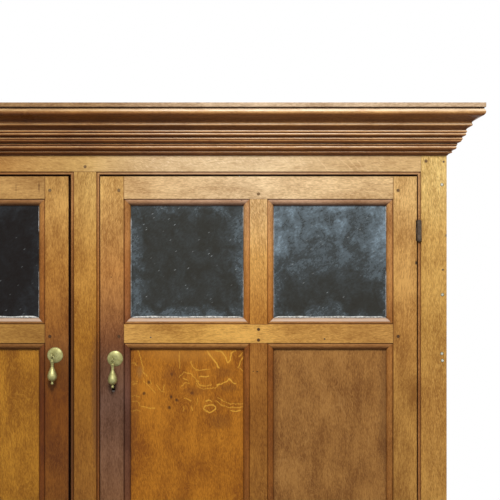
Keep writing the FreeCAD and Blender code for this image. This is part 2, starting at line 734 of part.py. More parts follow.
# Locks and turn buttons
class CupboardLock:
    """A lock let into the back of a right door's lock stile, with its bolt and its keyhole."""

    def __init__(self, door_edge, keyhole_x, keyhole_z):
        self.edge = door_edge
        self.keyhole = (keyhole_x, keyhole_z)
        self.low = keyhole_z - LOCK_HEIGHT / 2
        self.high = keyhole_z + LOCK_HEIGHT / 2
        self.front = DOOR_BACK - LOCK_DEPTH
        self.bolt_low = keyhole_z + KEYHOLE_RADIUS
        self.bolt_high = self.bolt_low + BOLT_HEIGHT

    def recess(self):
        return box(self.edge, self.edge + LOCK_WIDTH, self.front, DOOR_BACK, self.low, self.high)

    def keyhole_tool(self, y0, y1, room=0):
        x, z = self.keyhole
        half_slot = KEYHOLE_SLOT_WIDTH / 2 + room
        slot = box(x - half_slot, x + half_slot, y0, y1, z - KEYHOLE_SLOT_LENGTH - room, z)
        return rod(KEYHOLE_RADIUS + room, Vector(x, y0, z), Vector(x, y1, z)).fuse(slot)

    def bolt_way(self, start, end, room):
        low = self.bolt_low - room
        high = self.bolt_high + room
        return box(start, end, self.front + LOCK_WALL - room, DOOR_BACK - LOCK_WALL + room, low, high)

    def case(self):
        """The case, open at the door's edge for the bolt and at the front for the key."""
        channel_end = self.edge + BOLT_LENGTH + BOLT_CLEARANCE
        channel = self.bolt_way(self.edge - CUTTER_MARGIN, channel_end, BOLT_CLEARANCE)
        key_room = self.keyhole_tool(self.front - CUTTER_MARGIN, DOOR_BACK - LOCK_WALL, KEY_ROOM)
        return self.recess().cut([channel, key_room])

    def bolt(self):
        """The bolt, drawn in, with the notch that the key works in."""
        body = self.bolt_way(self.edge, self.edge + BOLT_LENGTH, 0)
        x = self.keyhole[0]
        notch_high = self.bolt_low + BOLT_HEIGHT / 3
        notch = box(x - KEYHOLE_RADIUS, x + KEYHOLE_RADIUS, FRONT, DOOR_BACK, self.bolt_low, notch_high)
        return body.cut(notch)

    def strike(self):
        """The mortise in the centre stile that takes the bolt."""
        reach = RIGHT_LOCK_GAP + BOLT_THROW + BOLT_CLEARANCE
        return self.bolt_way(self.edge - reach, self.edge, BOLT_CLEARANCE)


class TurnButton:
    """An oak button on the back of a left door that turns behind the centre stile."""

    def __init__(self, x, z):
        self.place = Vector(x, FACE_BACK + BUTTON_CLEARANCE, z)

    def body(self):
        start = self.place
        straight = (BUTTON_LENGTH - BUTTON_WIDTH) / 2
        radius = BUTTON_WIDTH / 2
        through = Y_AXIS * BUTTON_THICKNESS
        ends = [start + Z_AXIS * way * straight for way in (-1, 1)]
        pieces = [rod(radius, end, end + through) for end in ends]
        pieces.append(rod(BUTTON_DOWEL_RADIUS, start - Y_AXIS * BUTTON_DOWEL_LENGTH, start))
        span = (start.z - straight, start.z + straight)
        bar = box(start.x - radius, start.x + radius, start.y, start.y + BUTTON_THICKNESS, *span)
        return bar.fuse(pieces).removeSplitter()

    def hole(self):
        depth = BUTTON_DOWEL_LENGTH + CUTTER_MARGIN
        return rod(BUTTON_DOWEL_RADIUS + BUTTON_CLEARANCE, self.place - Y_AXIS * depth, self.place)


# Doors
class Door:
    """A framed door. side is -1 for the left and +1 for the right; glazed doors have panes in the top row."""

    def __init__(self, side, foot, head, glazed):
        self.foot = foot + HEAD_GAP
        self.head = head - HEAD_GAP
        lock_gap = RIGHT_LOCK_GAP if side > 0 else LEFT_LOCK_GAP
        lock_edge = side * (OPENING_INNER + lock_gap)
        hinge_edge = side * (OPENING_OUTER - HINGE_GAP)
        self.left = min(lock_edge, hinge_edge)
        self.right = max(lock_edge, hinge_edge)
        self.columns = self.find_columns()
        low_row, top_row = self.find_rows()
        self.panel_rows = [low_row] if glazed else [low_row, top_row]
        self.pane_rows = [top_row] if glazed else []
        hinge_heights = (self.foot + HINGE_FROM_DOOR_END, self.head - HINGE_FROM_DOOR_END)
        self.hinges = [ButtHinge(side, z) for z in hinge_heights]
        self.add_furniture(side, lock_edge, UPPER_PULL_FROM_HEAD if glazed else LOWER_PULL_FROM_HEAD)
        self.build_frame()

    def find_columns(self):
        first = self.left + DOOR_STILE_WIDTH
        last = self.right - DOOR_STILE_WIDTH
        middle = (first + last) / 2
        return [(first, middle - DOOR_MUNTIN_WIDTH / 2), (middle + DOOR_MUNTIN_WIDTH / 2, last)]

    def find_rows(self):
        high = self.head - DOOR_TOP_RAIL
        top_row_foot = high - TOP_ROW_HEIGHT
        return (self.foot + DOOR_BOTTOM_RAIL, top_row_foot - DOOR_MID_RAIL), (top_row_foot, high)

    def add_furniture(self, side, lock_edge, pull_drop):
        """The pull, and a lock on a right door or a turn button on a left one."""
        pull_z = self.head - pull_drop
        fastening_z = pull_z - KEYHOLE_BELOW_PULL
        x = side * PULL_FROM_CENTRE
        self.lock = None
        self.button = None
        if side > 0:
            self.pull = DropPull(x, pull_z)
            self.lock = CupboardLock(lock_edge, x, fastening_z)
        else:
            self.pull = DropPull(x - ROSE_SLIP * 2, pull_z + LEFT_PULL_RAISE)
            self.button = TurnButton(x, fastening_z)

    def recess_behind(self, row, depth):
        """A groove for panels or a rebate for panes, round each opening of a row."""
        front = FRONT + OVOLO_DEPTH
        ends = (front, front + depth, row[0] - GROOVE_DEPTH, row[1] + GROOVE_DEPTH)
        return [box(x0 - GROOVE_DEPTH, x1 + GROOVE_DEPTH, *ends) for x0, x1 in self.columns]

    def build_frame(self):
        cutters = [tool for hinge in self.hinges for tool in hinge.recesses()]
        for row in self.panel_rows:
            cutters += self.recess_behind(row, GROOVE_WIDTH)
        for row in self.pane_rows:
            cutters += self.recess_behind(row, DOOR_THICKNESS)
        cutters.append(self.pull.hole())
        if self.lock:
            cutters.append(self.lock.recess())
            cutters.append(self.lock.keyhole_tool(FRONT - CUTTER_MARGIN, DOOR_BACK))
        if self.button:
            cutters.append(self.button.hole())
        outer = (self.left, self.right, self.foot, self.head)
        rows = self.panel_rows + self.pane_rows
        self.frame = PeggedFrame(self.columns, rows, outer, self.foot, OVOLO_STRIP, DOOR_THICKNESS)
        self.frame.build(ovolo_ring, cutters)

    def panel(self, column, row):
        """An oak panel, flat in front and fielded behind, loose in its groove."""
        front = FRONT + OVOLO_DEPTH
        back = front + GROOVE_WIDTH
        reach = GROOVE_DEPTH - PANEL_FLOAT
        sheet = box(column[0] - reach, column[1] + reach, front, back, row[0] - reach, row[1] + reach)
        outlines = []
        for y, inset in ((back, PANEL_MARGIN), (back + PANEL_FIELD, PANEL_MARGIN + PANEL_BEVEL)):
            left, right = column[0] + inset, column[1] - inset
            low, high = row[0] + inset, row[1] - inset
            corners = [(left, low), (right, low), (right, high), (left, high), (left, low)]
            outlines.append(Part.makePolygon([Vector(x, y, z) for x, z in corners]))
        return sheet.fuse(Part.makeLoft(outlines, True, True)).removeSplitter()

    def panels(self):
        return [self.panel(column, row) for row in self.panel_rows for column in self.columns]

    def panes(self):
        front = FRONT + OVOLO_DEPTH
        reach = GROOVE_DEPTH - GLASS_CLEARANCE
        return [
            box(x0 - reach, x1 + reach, front, front + GLASS_THICKNESS, z0 - reach, z1 + reach)
            for z0, z1 in self.pane_rows
            for x0, x1 in self.columns
        ]

    def glazing_beads(self):
        """Mitred strips behind each pane, which hold it in its rebate."""
        front = FRONT + OVOLO_DEPTH + GLASS_THICKNESS
        reach = GROOVE_DEPTH
        strips = []
        for z0, z1 in self.pane_rows:
            for x0, x1 in self.columns:
                inside = [(x0, z0), (x1, z0), (x1, z1), (x0, z1), (x0, z0)]
                wide = (x0 - reach, x1 + reach, z0 - reach, z1 + reach)
                outside = [(wide[0], wide[2]), (wide[1], wide[2]), (wide[1], wide[3]), (wide[0], wide[3])]
                outside.append(outside[0])
                for index in range(4):
                    outline = [outside[index], outside[index + 1], inside[index + 1], inside[index]]
                    strips.append(board(outline, front, front + GLAZING_BEAD_THICKNESS))
        return strips


# The whole cabinet
def face_frame(doors):
    """The frame that shows between the doors, with the hinge recesses and the bolt mortises in it."""
    columns = [(-OPENING_OUTER, -OPENING_INNER), (OPENING_INNER, OPENING_OUTER)]
    rows = [(LOWER_OPENING_FOOT, LOWER_OPENING_TOP), (UPPER_OPENING_FOOT, UPPER_OPENING_TOP)]
    cutters = [tool for door in doors for hinge in door.hinges for tool in hinge.recesses()]
    cutters += [door.lock.strike() for door in doors if door.lock]
    outer = (-HALF_WIDTH, HALF_WIDTH, 0, CASE_TOP)
    frame = PeggedFrame(columns, rows, outer, FOOT_HEIGHT, BEAD_STRIP, FACE_THICKNESS)
    frame.build(bead_ring, cutters, FRIEZE_PEG_HEIGHT)
    return frame


def case_nodes(doors):
    frame = face_frame(doors)
    hinges = [hinge for door in doors for hinge in door.hinges]
    return {
        "left_front_stile": frame.stiles[:1],
        "right_front_stile": frame.stiles[1:],
        "centre_stiles": frame.muntins,
        "bottom_rail": frame.rails[:1],
        "waist_rail": frame.rails[1:2],
        "frieze_rail": frame.rails[2:],
        "case_pegs": frame.pegs,
        "left_side_boards": side_boards(-1),
        "right_side_boards": side_boards(1),
        "back_boards": back_boards(),
        "top_boards": top_boards(),
        "shelves": [shelf_at(top, FACE_BACK + SHELF_SETBACK) for top in shelf_tops()],
        "cupboard_floors": [shelf_at(top, FACE_BACK) for top in floor_tops()],
        "shelf_bearers": bearers(),
        "door_stops": door_stops(),
        "cornice_cap": cornice_cap(),
        "cornice_crown": cornice_crown(),
        "cornice_reeding": cornice_reeding(),
        "cornice_bed": cornice_bed(),
        "case_hinge_halves": [hinge.fixed_leaf() for hinge in hinges] + [hinge.pin() for hinge in hinges],
    }


def door_nodes(name, door):
    """The nodes of one door, with its pull and its lock or turn button."""
    frame = door.frame
    nodes = {
        f"{name}_panels": door.panels(),
        f"{name}_pegs": frame.pegs,
        f"{name}_hinge_leaves": [hinge.door_leaf() for hinge in door.hinges],
        f"{name}_pull_rose": [door.pull.rose(), door.pull.snipe()],
        f"{name}_pull_drop": [door.pull.drop()],
    }
    if door.pane_rows:
        nodes[f"{name}_stiles"] = frame.stiles
        nodes[f"{name}_rails"] = frame.rails
        nodes[f"{name}_muntins"] = frame.muntins
        nodes[f"{name}_panes"] = door.panes()
        nodes[f"{name}_glazing_beads"] = door.glazing_beads()
    else:
        nodes[f"{name}_uprights"] = frame.stiles + frame.muntins
        nodes[f"{name}_rails"] = frame.rails
    if door.lock:
        nodes[f"{name}_lock_case"] = [door.lock.case()]
        nodes[f"{name}_lock_bolt"] = [door.lock.bolt()]
    if door.button:
        nodes[f"{name}_turn_button"] = [door.button.body()]
    return nodes


def main():
    doors = {
        "left_upper_door": Door(-1, UPPER_OPENING_FOOT, UPPER_OPENING_TOP, True),
        "right_upper_door": Door(1, UPPER_OPENING_FOOT, UPPER_OPENING_TOP, True),
        "left_lower_door": Door(-1, LOWER_OPENING_FOOT, LOWER_OPENING_TOP, False),
        "right_lower_door": Door(1, LOWER_OPENING_FOOT, LOWER_OPENING_TOP, False),
    }
    nodes = case_nodes(list(doors.values()))
    for name, door in doors.items():
        nodes.update(door_nodes(name, door))
    os.makedirs("parts", exist_ok=True)
    for name, solids in nodes.items():
        Part.makeCompound(solids).exportStep(f"parts/{name}.step")
    print(f"{len(nodes)} nodes, {sum(len(solids) for solids in nodes.values())} solids")


main()
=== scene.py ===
# %% [markdown]
# # An old oak larder cabinet
# The solids of the cabinet come from the CAD model, so this lesson is mostly about surfaces: old waxed oak,
# dusty glass, aged brass and dark iron. A few small things that only matter to the eye, such as putty and nail
# heads, are built here from arrays of numbers. Everything is in metres, with +Z up and the doors facing -Y.

# %% Load the frame
import bpy
import numpy as np
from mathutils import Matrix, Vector


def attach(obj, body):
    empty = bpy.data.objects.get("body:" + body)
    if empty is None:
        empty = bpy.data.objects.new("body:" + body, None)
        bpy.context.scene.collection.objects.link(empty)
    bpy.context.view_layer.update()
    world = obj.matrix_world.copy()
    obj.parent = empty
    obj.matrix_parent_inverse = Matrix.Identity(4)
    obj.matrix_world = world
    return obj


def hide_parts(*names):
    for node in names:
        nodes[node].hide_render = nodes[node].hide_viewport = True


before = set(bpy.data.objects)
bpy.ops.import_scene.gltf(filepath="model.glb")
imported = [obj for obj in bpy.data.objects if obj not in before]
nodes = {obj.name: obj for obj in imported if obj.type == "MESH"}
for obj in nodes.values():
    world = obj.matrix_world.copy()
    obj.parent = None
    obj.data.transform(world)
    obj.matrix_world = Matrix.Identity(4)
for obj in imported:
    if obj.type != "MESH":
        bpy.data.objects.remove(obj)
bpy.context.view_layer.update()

# %% [markdown]
# ## The camera
# A photograph taken square-on keeps upright lines upright. A tilted camera with a shifted lens could do that too,
# but it is simpler to look straight along +Y. The camera stands 2.2 m in front of the doors, level with the glass,
# and its lens is chosen so that 0.95 m of the door plane fills the picture.

# %% Place the camera
def new_object(name, data):
    """An object, linked to the scene."""
    made = bpy.data.objects.new(name, data)
    bpy.context.scene.collection.objects.link(made)
    return made


FACE = -0.21875
CAMERA_DISTANCE = 2.2
CAMERA_ACROSS = 0.3133
CAMERA_HEIGHT = 1.5575
PICTURE_WIDTH = 0.95
SENSOR_WIDTH = 36
camera_data = bpy.data.cameras.new("camera")
camera_data.sensor_width = SENSOR_WIDTH
camera_data.lens = SENSOR_WIDTH * CAMERA_DISTANCE / PICTURE_WIDTH
camera = new_object("camera", camera_data)
camera.location = (CAMERA_ACROSS, FACE - CAMERA_DISTANCE, CAMERA_HEIGHT)
camera.rotation_euler = (np.pi / 2, 0, 0)
bpy.context.scene.camera = camera
bpy.context.scene.view_settings.view_transform = "Standard"
print("lens", round(camera_data.lens, 1), "mm")

# %% [markdown]
# ## Small helpers for shader nodes
# A procedural finish is a chain of nodes. It could be drawn in the shader editor, but written down it can be repeated
# and changed in one place. Each helper adds a node, sets or links its sockets, and gives back its output.

# %% Node helpers
def put(tree, kind, inputs=None, **settings):
    """Adds a node. inputs maps a socket's name or number to a value, or to an output that is linked to it."""
    made = tree.nodes.new("ShaderNode" + kind)
    for key, value in settings.items():
        setattr(made, key, value)
    for key, value in (inputs or {}).items():
        if isinstance(value, bpy.types.NodeSocket):
            tree.links.new(value, made.inputs[key])
        else:
            made.inputs[key].default_value = value
    return made


def maths(tree, operation, first, second=0.0):
    return put(tree, "Math", {0: first, 1: second}, operation=operation).outputs[0]


def product(tree, first, second):
    return maths(tree, "MULTIPLY", first, second)


def apart(tree, first, second):
    """The distance between two numbers."""
    return maths(tree, "ABSOLUTE", maths(tree, "SUBTRACT", first, second))


def vector_maths(tree, operation, first, second):
    return put(tree, "VectorMath", {0: first, 1: second}, operation=operation).outputs[0]


# %% Helpers for places, noise and smooth steps
def parts(tree, vector):
    return put(tree, "SeparateXYZ", {0: vector}).outputs


def here(tree):
    """The place on the object, in metres."""
    return put(tree, "TexCoord").outputs["Object"]


def noise(tree, vector, stretch, detail=1.0, roughness=0.5, distortion=0.0):
    """Noise whose cells are 1 / stretch metres long on each axis."""
    scaled = vector_maths(tree, "MULTIPLY", vector, stretch)
    settings = {"Vector": scaled, "Scale": 1.0, "Detail": detail, "Roughness": roughness, "Distortion": distortion}
    return put(tree, "TexNoise", settings).outputs["Fac"]


def ease(tree, value, start, end, low=0.0, high=1.0):
    """A smooth step: low before start, high after end."""
    inputs = {"Value": value, "From Min": start, "From Max": end, "To Min": low, "To Max": high}
    return put(tree, "MapRange", inputs, interpolation_type="SMOOTHSTEP").outputs["Result"]


# %% Helpers for colours and materials
def mix(tree, factor, first, second, mode="MIX"):
    """Mixes two colours. factor is a number or an output, held between 0 and 1."""
    colours = {0: factor, 6: first, 7: second}
    return put(tree, "Mix", colours, data_type="RGBA", blend_type=mode).outputs[2]


def times(tree, colour, share):
    """A colour multiplied by three shares, one for each channel."""
    return mix(tree, 1.0, colour, (*share, 1.0), "MULTIPLY")


def srgb(red, green, blue):
    """An sRGB colour in 0 to 255 as the linear values that sockets hold: ((v + 0.055) / 1.055) to the power 2.4."""
    share = np.array([red, green, blue]) / 255
    linear = np.where(share <= 0.04045, share / 12.92, ((share + 0.055) / 1.055) ** 2.4)
    return (*linear.tolist(), 1.0)


def new_material(name):
    """An empty material and the tree to add to."""
    material = bpy.data.materials.new(name)
    material.use_nodes = True
    material.node_tree.nodes.clear()
    return material, material.node_tree


def show(tree, shader):
    put(tree, "OutputMaterial", {"Surface": shader.outputs[0]})


# %% [markdown]
# ## Light, floor and background
# A picture of a studio could light the cabinet, but a few lamps need no file. A wide lamp above and in front stands
# for a window: it lights the upper edges of the mouldings and leaves their undersides dark. Weaker lamps reach the
# ends and the back, and the world adds a little even light. Seen by the camera, or mirrored in brass and glass, the
# world is white. The pale floor fades out at its rim, so that no edge shows behind the cabinet, and it throws little
# light up under the mouldings.

# %% Light the scene
WORLD_LIGHT = 0.2
world = bpy.data.worlds.new("studio")
world.use_nodes = True
bpy.context.scene.world = world
tree = world.node_tree
tree.nodes.clear()
paths = put(tree, "LightPath").outputs
seen = maths(tree, "MAXIMUM", paths["Is Camera Ray"], paths["Is Glossy Ray"])
seen = maths(tree, "MAXIMUM", seen, paths["Is Transmission Ray"])
strength = maths(tree, "ADD", product(tree, seen, 1 - WORLD_LIGHT), WORLD_LIGHT)
sky = put(tree, "Background", {"Color": (1, 1, 1, 1), "Strength": strength})
put(tree, "OutputWorld", {"Surface": sky.outputs[0]})


def lamp(name, place, aim, size, power):
    """A square area lamp that looks from place towards aim."""
    data = bpy.data.lights.new(name, "AREA")
    data.size = size
    data.energy = power
    made = new_object(name, data)
    made.location = place
    made.rotation_euler = (Vector(aim) - Vector(place)).to_track_quat("-Z", "Y").to_euler()


lamp("window", (0.3, -2.15, 3.2), (0.25, -0.2, 1.5), 0.75, 66)
lamp("left_side", (-3.0, 0.7, 2.2), (0, 0.1, 1.0), 2.0, 60)
lamp("right_side", (3.0, 0.7, 2.2), (0, 0.1, 1.0), 2.0, 60)
lamp("back", (0, 3.4, 2.2), (0, 0.2, 1.0), 2.0, 60)
print("four lamps and a world of", WORLD_LIGHT)

# %% Lay the floor
FLOOR_SIDES = 96
FLOOR_RINGS = np.array([0.5, 1.5, 2.5, 3.2])
angle = np.linspace(0, 2 * np.pi, FLOOR_SIDES, endpoint=False)
circle = np.stack([np.cos(angle), np.sin(angle), np.zeros(FLOOR_SIDES)], axis=-1)
corners = np.concatenate([(FLOOR_RINGS[:, None, None] * circle).reshape(-1, 3), [[0, 0, 0]]])
index = np.arange(FLOOR_RINGS.size * FLOOR_SIDES).reshape(-1, FLOOR_SIDES)
turned = np.roll(index, -1, axis=1)
quads = np.stack([index[:-1], index[1:], turned[1:], turned[:-1]], axis=-1).reshape(-1, 4)
middle = np.stack([np.full(FLOOR_SIDES, index.size), index[0], turned[0]], axis=-1)
floor_mesh = bpy.data.meshes.new("floor")
floor_mesh.from_pydata(corners.tolist(), [], quads.tolist() + middle.tolist())
floor = new_object("floor", floor_mesh)
floor_material, tree = new_material("pale_floor")
reach = put(tree, "VectorMath", {0: here(tree)}, operation="LENGTH").outputs["Value"]
looked_at = put(tree, "LightPath").outputs["Is Camera Ray"]
pale = put(tree, "BsdfDiffuse", {"Color": mix(tree, looked_at, (0.4, 0.4, 0.4, 1), (0.9, 0.9, 0.9, 1))})
clear = put(tree, "BsdfTransparent")
show(tree, put(tree, "MixShader", {0: ease(tree, reach, 1.6, 3.1), 1: pale.outputs[0], 2: clear.outputs[0]}))
floor_mesh.materials.append(floor_material)
print("floor of", len(quads) + len(middle), "faces")

# %% [markdown]
# ## Old oak
# Oak shows fine fibres, slow bands of growth, dark open pores and, where the log was quartered, pale ray flecks
# that cross the grain. A picture of a board would repeat itself, so each of these is a noise, stretched along the
# board. The first helper turns the coordinates of a board until its third axis runs along the grain. Boards that
# are glued side by side get a shift at every seam, so that the grain stops there.

# %% Grain and tones
CASE_HALF_WIDTH = 0.687


def grain_space(tree, along, seams):
    """The place, its three parts, and the place turned so that the third part is along the grain.

    Round the cornice, the grain turns from X to Y at the mitre, where end and front overhang the case equally.
    """
    place = here(tree)
    axes = dict(zip("XYZ", parts(tree, place)))
    if along == "round":
        side = maths(tree, "SUBTRACT", maths(tree, "ABSOLUTE", axes["X"]), CASE_HALF_WIDTH)
        front = maths(tree, "SUBTRACT", FACE, axes["Y"])
        returns = maths(tree, "GREATER_THAN", side, front)
        run = put(tree, "Mix", {0: returns, 2: axes["X"], 3: axes["Y"]}).outputs[0]
        deep = put(tree, "Mix", {0: returns, 2: axes["Y"], 3: axes["X"]}).outputs[0]
        order = [axes["Z"], deep, run]
    else:
        order = [axes[a] for a in {"Z": "XYZ", "X": "ZYX", "Y": "XZY"}[along]]
    space = put(tree, "CombineXYZ", dict(enumerate(order))).outputs[0]
    if seams:
        axis, places = seams
        count = 0.0
        for seam in places:
            count = maths(tree, "ADD", maths(tree, "GREATER_THAN", axes[axis], seam), count)
        shift = put(tree, "VectorMath", {0: (3.7, 1.9, 0.83), "Scale": count}, operation="SCALE").outputs[0]
        space = vector_maths(tree, "ADD", space, shift)
    return place, axes, space


def tone_ramp(tree, spot, tones):
    """Colour by place along one axis. tones are (metres, sRGB colour) pairs, between -1 m and 2 m."""
    share = put(tree, "MapRange", {"Value": spot, "From Min": -1.0, "From Max": 2.0}).outputs["Result"]
    ramp = put(tree, "ValToRGB", {0: share})
    stops = ramp.color_ramp.elements
    for _ in tones[2:]:
        stops.new(0.5)
    for stop, (metres, tone) in zip(stops, sorted(tones)):
        stop.position = (metres + 1.0) / 3.0
        stop.color = srgb(*tone)
    return ramp.outputs["Color"]


# %% Masks for mouldings and rays
TENTHS_IN_METRE = 10000


def off_openings(tree, axes, openings):
    """Metres outside the nearest opening (left, right, foot, head): the larger of the two overhangs, least of all."""
    nearest = None
    for left, right, foot, head in openings:
        wide = apart(tree, axes["X"], (left + right) / 2)
        tall = apart(tree, axes["Z"], (foot + head) / 2)
        away = maths(tree, "MAXIMUM", maths(tree, "SUBTRACT", wide, (right - left) / 2),
                     maths(tree, "SUBTRACT", tall, (head - foot) / 2))
        nearest = away if nearest is None else maths(tree, "MINIMUM", nearest, away)
    return nearest


def contour_figure(tree, space):
    """Pale wavy lines of cut rays: the contour lines of a slow noise, broken up by a second one."""
    field = noise(tree, space, (12, 12, 7), 2.2, 0.55, 0.8)
    phase = maths(tree, "FRACT", product(tree, field, 30.0))
    line = ease(tree, apart(tree, phase, 0.5), 0.03, 0.13, 1.0, 0.0)
    broken = ease(tree, noise(tree, space, (34, 34, 24), 1.0), 0.45, 0.6)
    return product(tree, line, broken)


def stroke_figure(tree, axes, strokes, width):
    """1 on drawn ray lines and 0 off them.

    A stroke is a run of (x, z) points in tenths of a millimetre. The distance of p from its leg a to b is
    |p - a - t (b - a)|, where t is (p - a).(b - a) / |b - a|^2 held between 0 and 1.
    """
    flat = put(tree, "CombineXYZ", {0: axes["X"], 2: axes["Z"]}).outputs[0]
    sway = put(tree, "TexNoise", {"Vector": flat, "Scale": 160.0, "Detail": 1.0}).outputs["Color"]
    sway = vector_maths(tree, "MULTIPLY", vector_maths(tree, "SUBTRACT", sway, (0.5, 0.5, 0.5)), (0.005, 0.0, 0.005))
    point = vector_maths(tree, "ADD", flat, sway)
    runs = [np.array(run) / TENTHS_IN_METRE for run in strokes]
    nearest = None
    for (ax, az), (bx, bz) in [leg for run in runs for leg in zip(run[:-1], run[1:])]:
        leg = np.array([bx - ax, 0, bz - az])
        off = vector_maths(tree, "SUBTRACT", point, (ax, 0, az))
        share = put(tree, "VectorMath", {0: off, 1: tuple(leg / (leg @ leg))}, operation="DOT_PRODUCT").outputs["Value"]
        share = put(tree, "Clamp", {0: share}).outputs[0]
        foot = put(tree, "VectorMath", {0: tuple(leg), "Scale": share}, operation="SCALE").outputs[0]
        away = put(tree, "VectorMath", {0: off, 1: foot}, operation="DISTANCE").outputs["Value"]
        nearest = away if nearest is None else maths(tree, "MINIMUM", nearest, away)
    return ease(tree, nearest, 0.3 * width, width, 1.0, 0.0)


# %% [markdown]
# ## Layers of the oak finish
# A plain brown would look like plastic, so the colour is laid on as time laid it on the cabinet. First come the
# streaks of the wood, then the pale rays, then pores, worm holes and stains. Each layer is a function that changes
# the colour so far, so that any board can have more or less of it.

# %% Streaks
def streaked(tree, base, space, grain, bands, mottle):
    """The tone between a dark and a light version of itself, by streak = 0.5 + the sum of (noise - 0.5) x share.

    The noises are fine fibres, broad fibres, growth bands and cloudy patches. The first three follow a bent grain.
    """
    bend = maths(tree, "SUBTRACT", noise(tree, space, (3.0, 3.0, 1.4), 1.0), 0.5)
    shift = put(tree, "CombineXYZ", {0: product(tree, bend, 0.04)}).outputs[0]
    bent = vector_maths(tree, "ADD", space, shift)
    fine = noise(tree, bent, (620, 620, 170), 3.0, 0.65)
    fibre = noise(tree, bent, (190, 190, 26), 2.0, 0.55)
    growth = noise(tree, bent, (42.0, 42.0, 1.5), 2.0, 0.55)
    cloud = noise(tree, space, (19, 19, 9), 3.0, 0.6)
    streak = 0.5
    for part, share in ((fine, 2.1 * grain), (fibre, 0.55 * grain), (growth, bands), (cloud, 1.7 * mottle)):
        streak = maths(tree, "ADD", product(tree, maths(tree, "SUBTRACT", part, 0.5), share), streak)
    dark, light = times(tree, base, (0.6, 0.5, 0.4)), times(tree, base, (1.3, 1.36, 1.42))
    return mix(tree, streak, dark, light), dark, bent, fine, fibre, cloud


# %% Rays
def with_rays(tree, colour, base, axes, space, bent, flecks, slope, figure, strokes):
    """Pale rays of three kinds: short flecks turned by slope, contour lines, and drawn strokes, each with its lift."""
    slant = put(tree, "VectorRotate", {"Vector": bent, "Angle": slope}, rotation_type="Y_AXIS").outputs[0]
    ray = ease(tree, noise(tree, slant, (540, 540, 120), 1.0), 0.54, 0.66)
    ray = product(tree, ray, ease(tree, noise(tree, space, (14, 14, 6), 1.0), 0.4, 0.62, 0.15, 1.0))
    pale = times(tree, base, (1.45, 1.62, 2.0))
    colour = mix(tree, product(tree, ray, flecks), colour, pale)
    if figure:
        colour = mix(tree, product(tree, contour_figure(tree, space), figure), colour, pale)
    for run, width, share, lift in strokes:
        lines = product(tree, stroke_figure(tree, axes, run, width), share)
        colour = mix(tree, lines, colour, times(tree, base, lift))
    return colour


# %% Pores, worm holes and stains
def with_pores(tree, colour, dark, place, bent, fine, spots):
    """Dark pores, a few worm holes, and stains that fade from 0.3 to 1 of their size, with a ragged rim."""
    pores = ease(tree, noise(tree, bent, (620, 620, 70), 0.0), 0.62, 0.74)
    colour = mix(tree, product(tree, pores, 0.5), colour, dark)
    cells = put(tree, "TexVoronoi", {"Vector": place, "Scale": 19.0})
    chance = parts(tree, cells.outputs["Color"])[0]
    speck = product(tree, ease(tree, cells.outputs["Distance"], 0.014, 0.032, 1.0, 0.0),
                    maths(tree, "GREATER_THAN", chance, 0.62))
    colour = mix(tree, product(tree, speck, 0.8), colour, srgb(48, 26, 14))
    for centre, size, tone, share in spots:
        away = vector_maths(tree, "DIVIDE", vector_maths(tree, "SUBTRACT", place, centre), size)
        away = put(tree, "VectorMath", {0: away}, operation="LENGTH").outputs["Value"]
        away = maths(tree, "ADD", away, product(tree, maths(tree, "SUBTRACT", fine, 0.5), 0.6))
        colour = mix(tree, product(tree, ease(tree, away, 0.3, 1.0, 1.0, 0.0), share), colour, srgb(*tone))
    return colour, pores


# %% [markdown]
# ## Mouldings
# A moulding is harder to wipe than a flat face. It holds more old wax, so it is browner; it is dusty where it looks up,
# and where it looks down it gets painted shade. Its edges could be found by their curvature, but beads and ovolos all
# run round an opening, so the distance from the opening is enough. The cornice is moulding all over: its hollows and
# undersides get painted shade, and its upper edges, rubbed by hands and dusters, are painted pale as a highlight.

# %% Mouldings round the openings
def with_edge_moulding(tree, colour, base, axes, upward, dark_wax_and_shade, openings, strip, tint, line, dust):
    """Tints what is within strip of the openings, lays dust on it by how far it looks up, and paints shade on it by how
    far it looks down.

    The quirk is a groove 1 mm inside the strip. It gets a dark line of painted shade and old wax, no dust, and little
    of the dark wax and shade of the hollows.
    """
    off = off_openings(tree, axes, openings)
    band = ease(tree, off, strip - 0.0008, strip, 1.0, 0.0)
    quirk = apart(tree, off, strip - 0.001)
    clear_of_quirk = ease(tree, quirk, 0.0012, 0.003)
    colour = mix(tree, product(tree, band, 0.9), colour, times(tree, colour, tint))
    settled = product(tree, band, ease(tree, upward, 0.03, 0.4, 0.0, dust))
    colour = mix(tree, product(tree, settled, clear_of_quirk), colour, srgb(208, 182, 160))
    # Painted shade where the moulding looks down.
    painted_shade_below = product(tree, band, ease(tree, upward, -0.05, -0.7, 0.0, 0.6))
    colour = mix(tree, painted_shade_below, colour, times(tree, colour, (0.36, 0.3, 0.32)))
    # The dark line in the quirk: painted shade in the groove, with old wax.
    colour = mix(tree, ease(tree, quirk, 0.0005, 0.0014, line, 0.0), colour, times(tree, base, (0.2, 0.13, 0.11)))
    dark_wax_and_shade = product(tree, dark_wax_and_shade, ease(tree, clear_of_quirk, 0.0, 1.0, 0.12, 1.0))
    return colour, dark_wax_and_shade


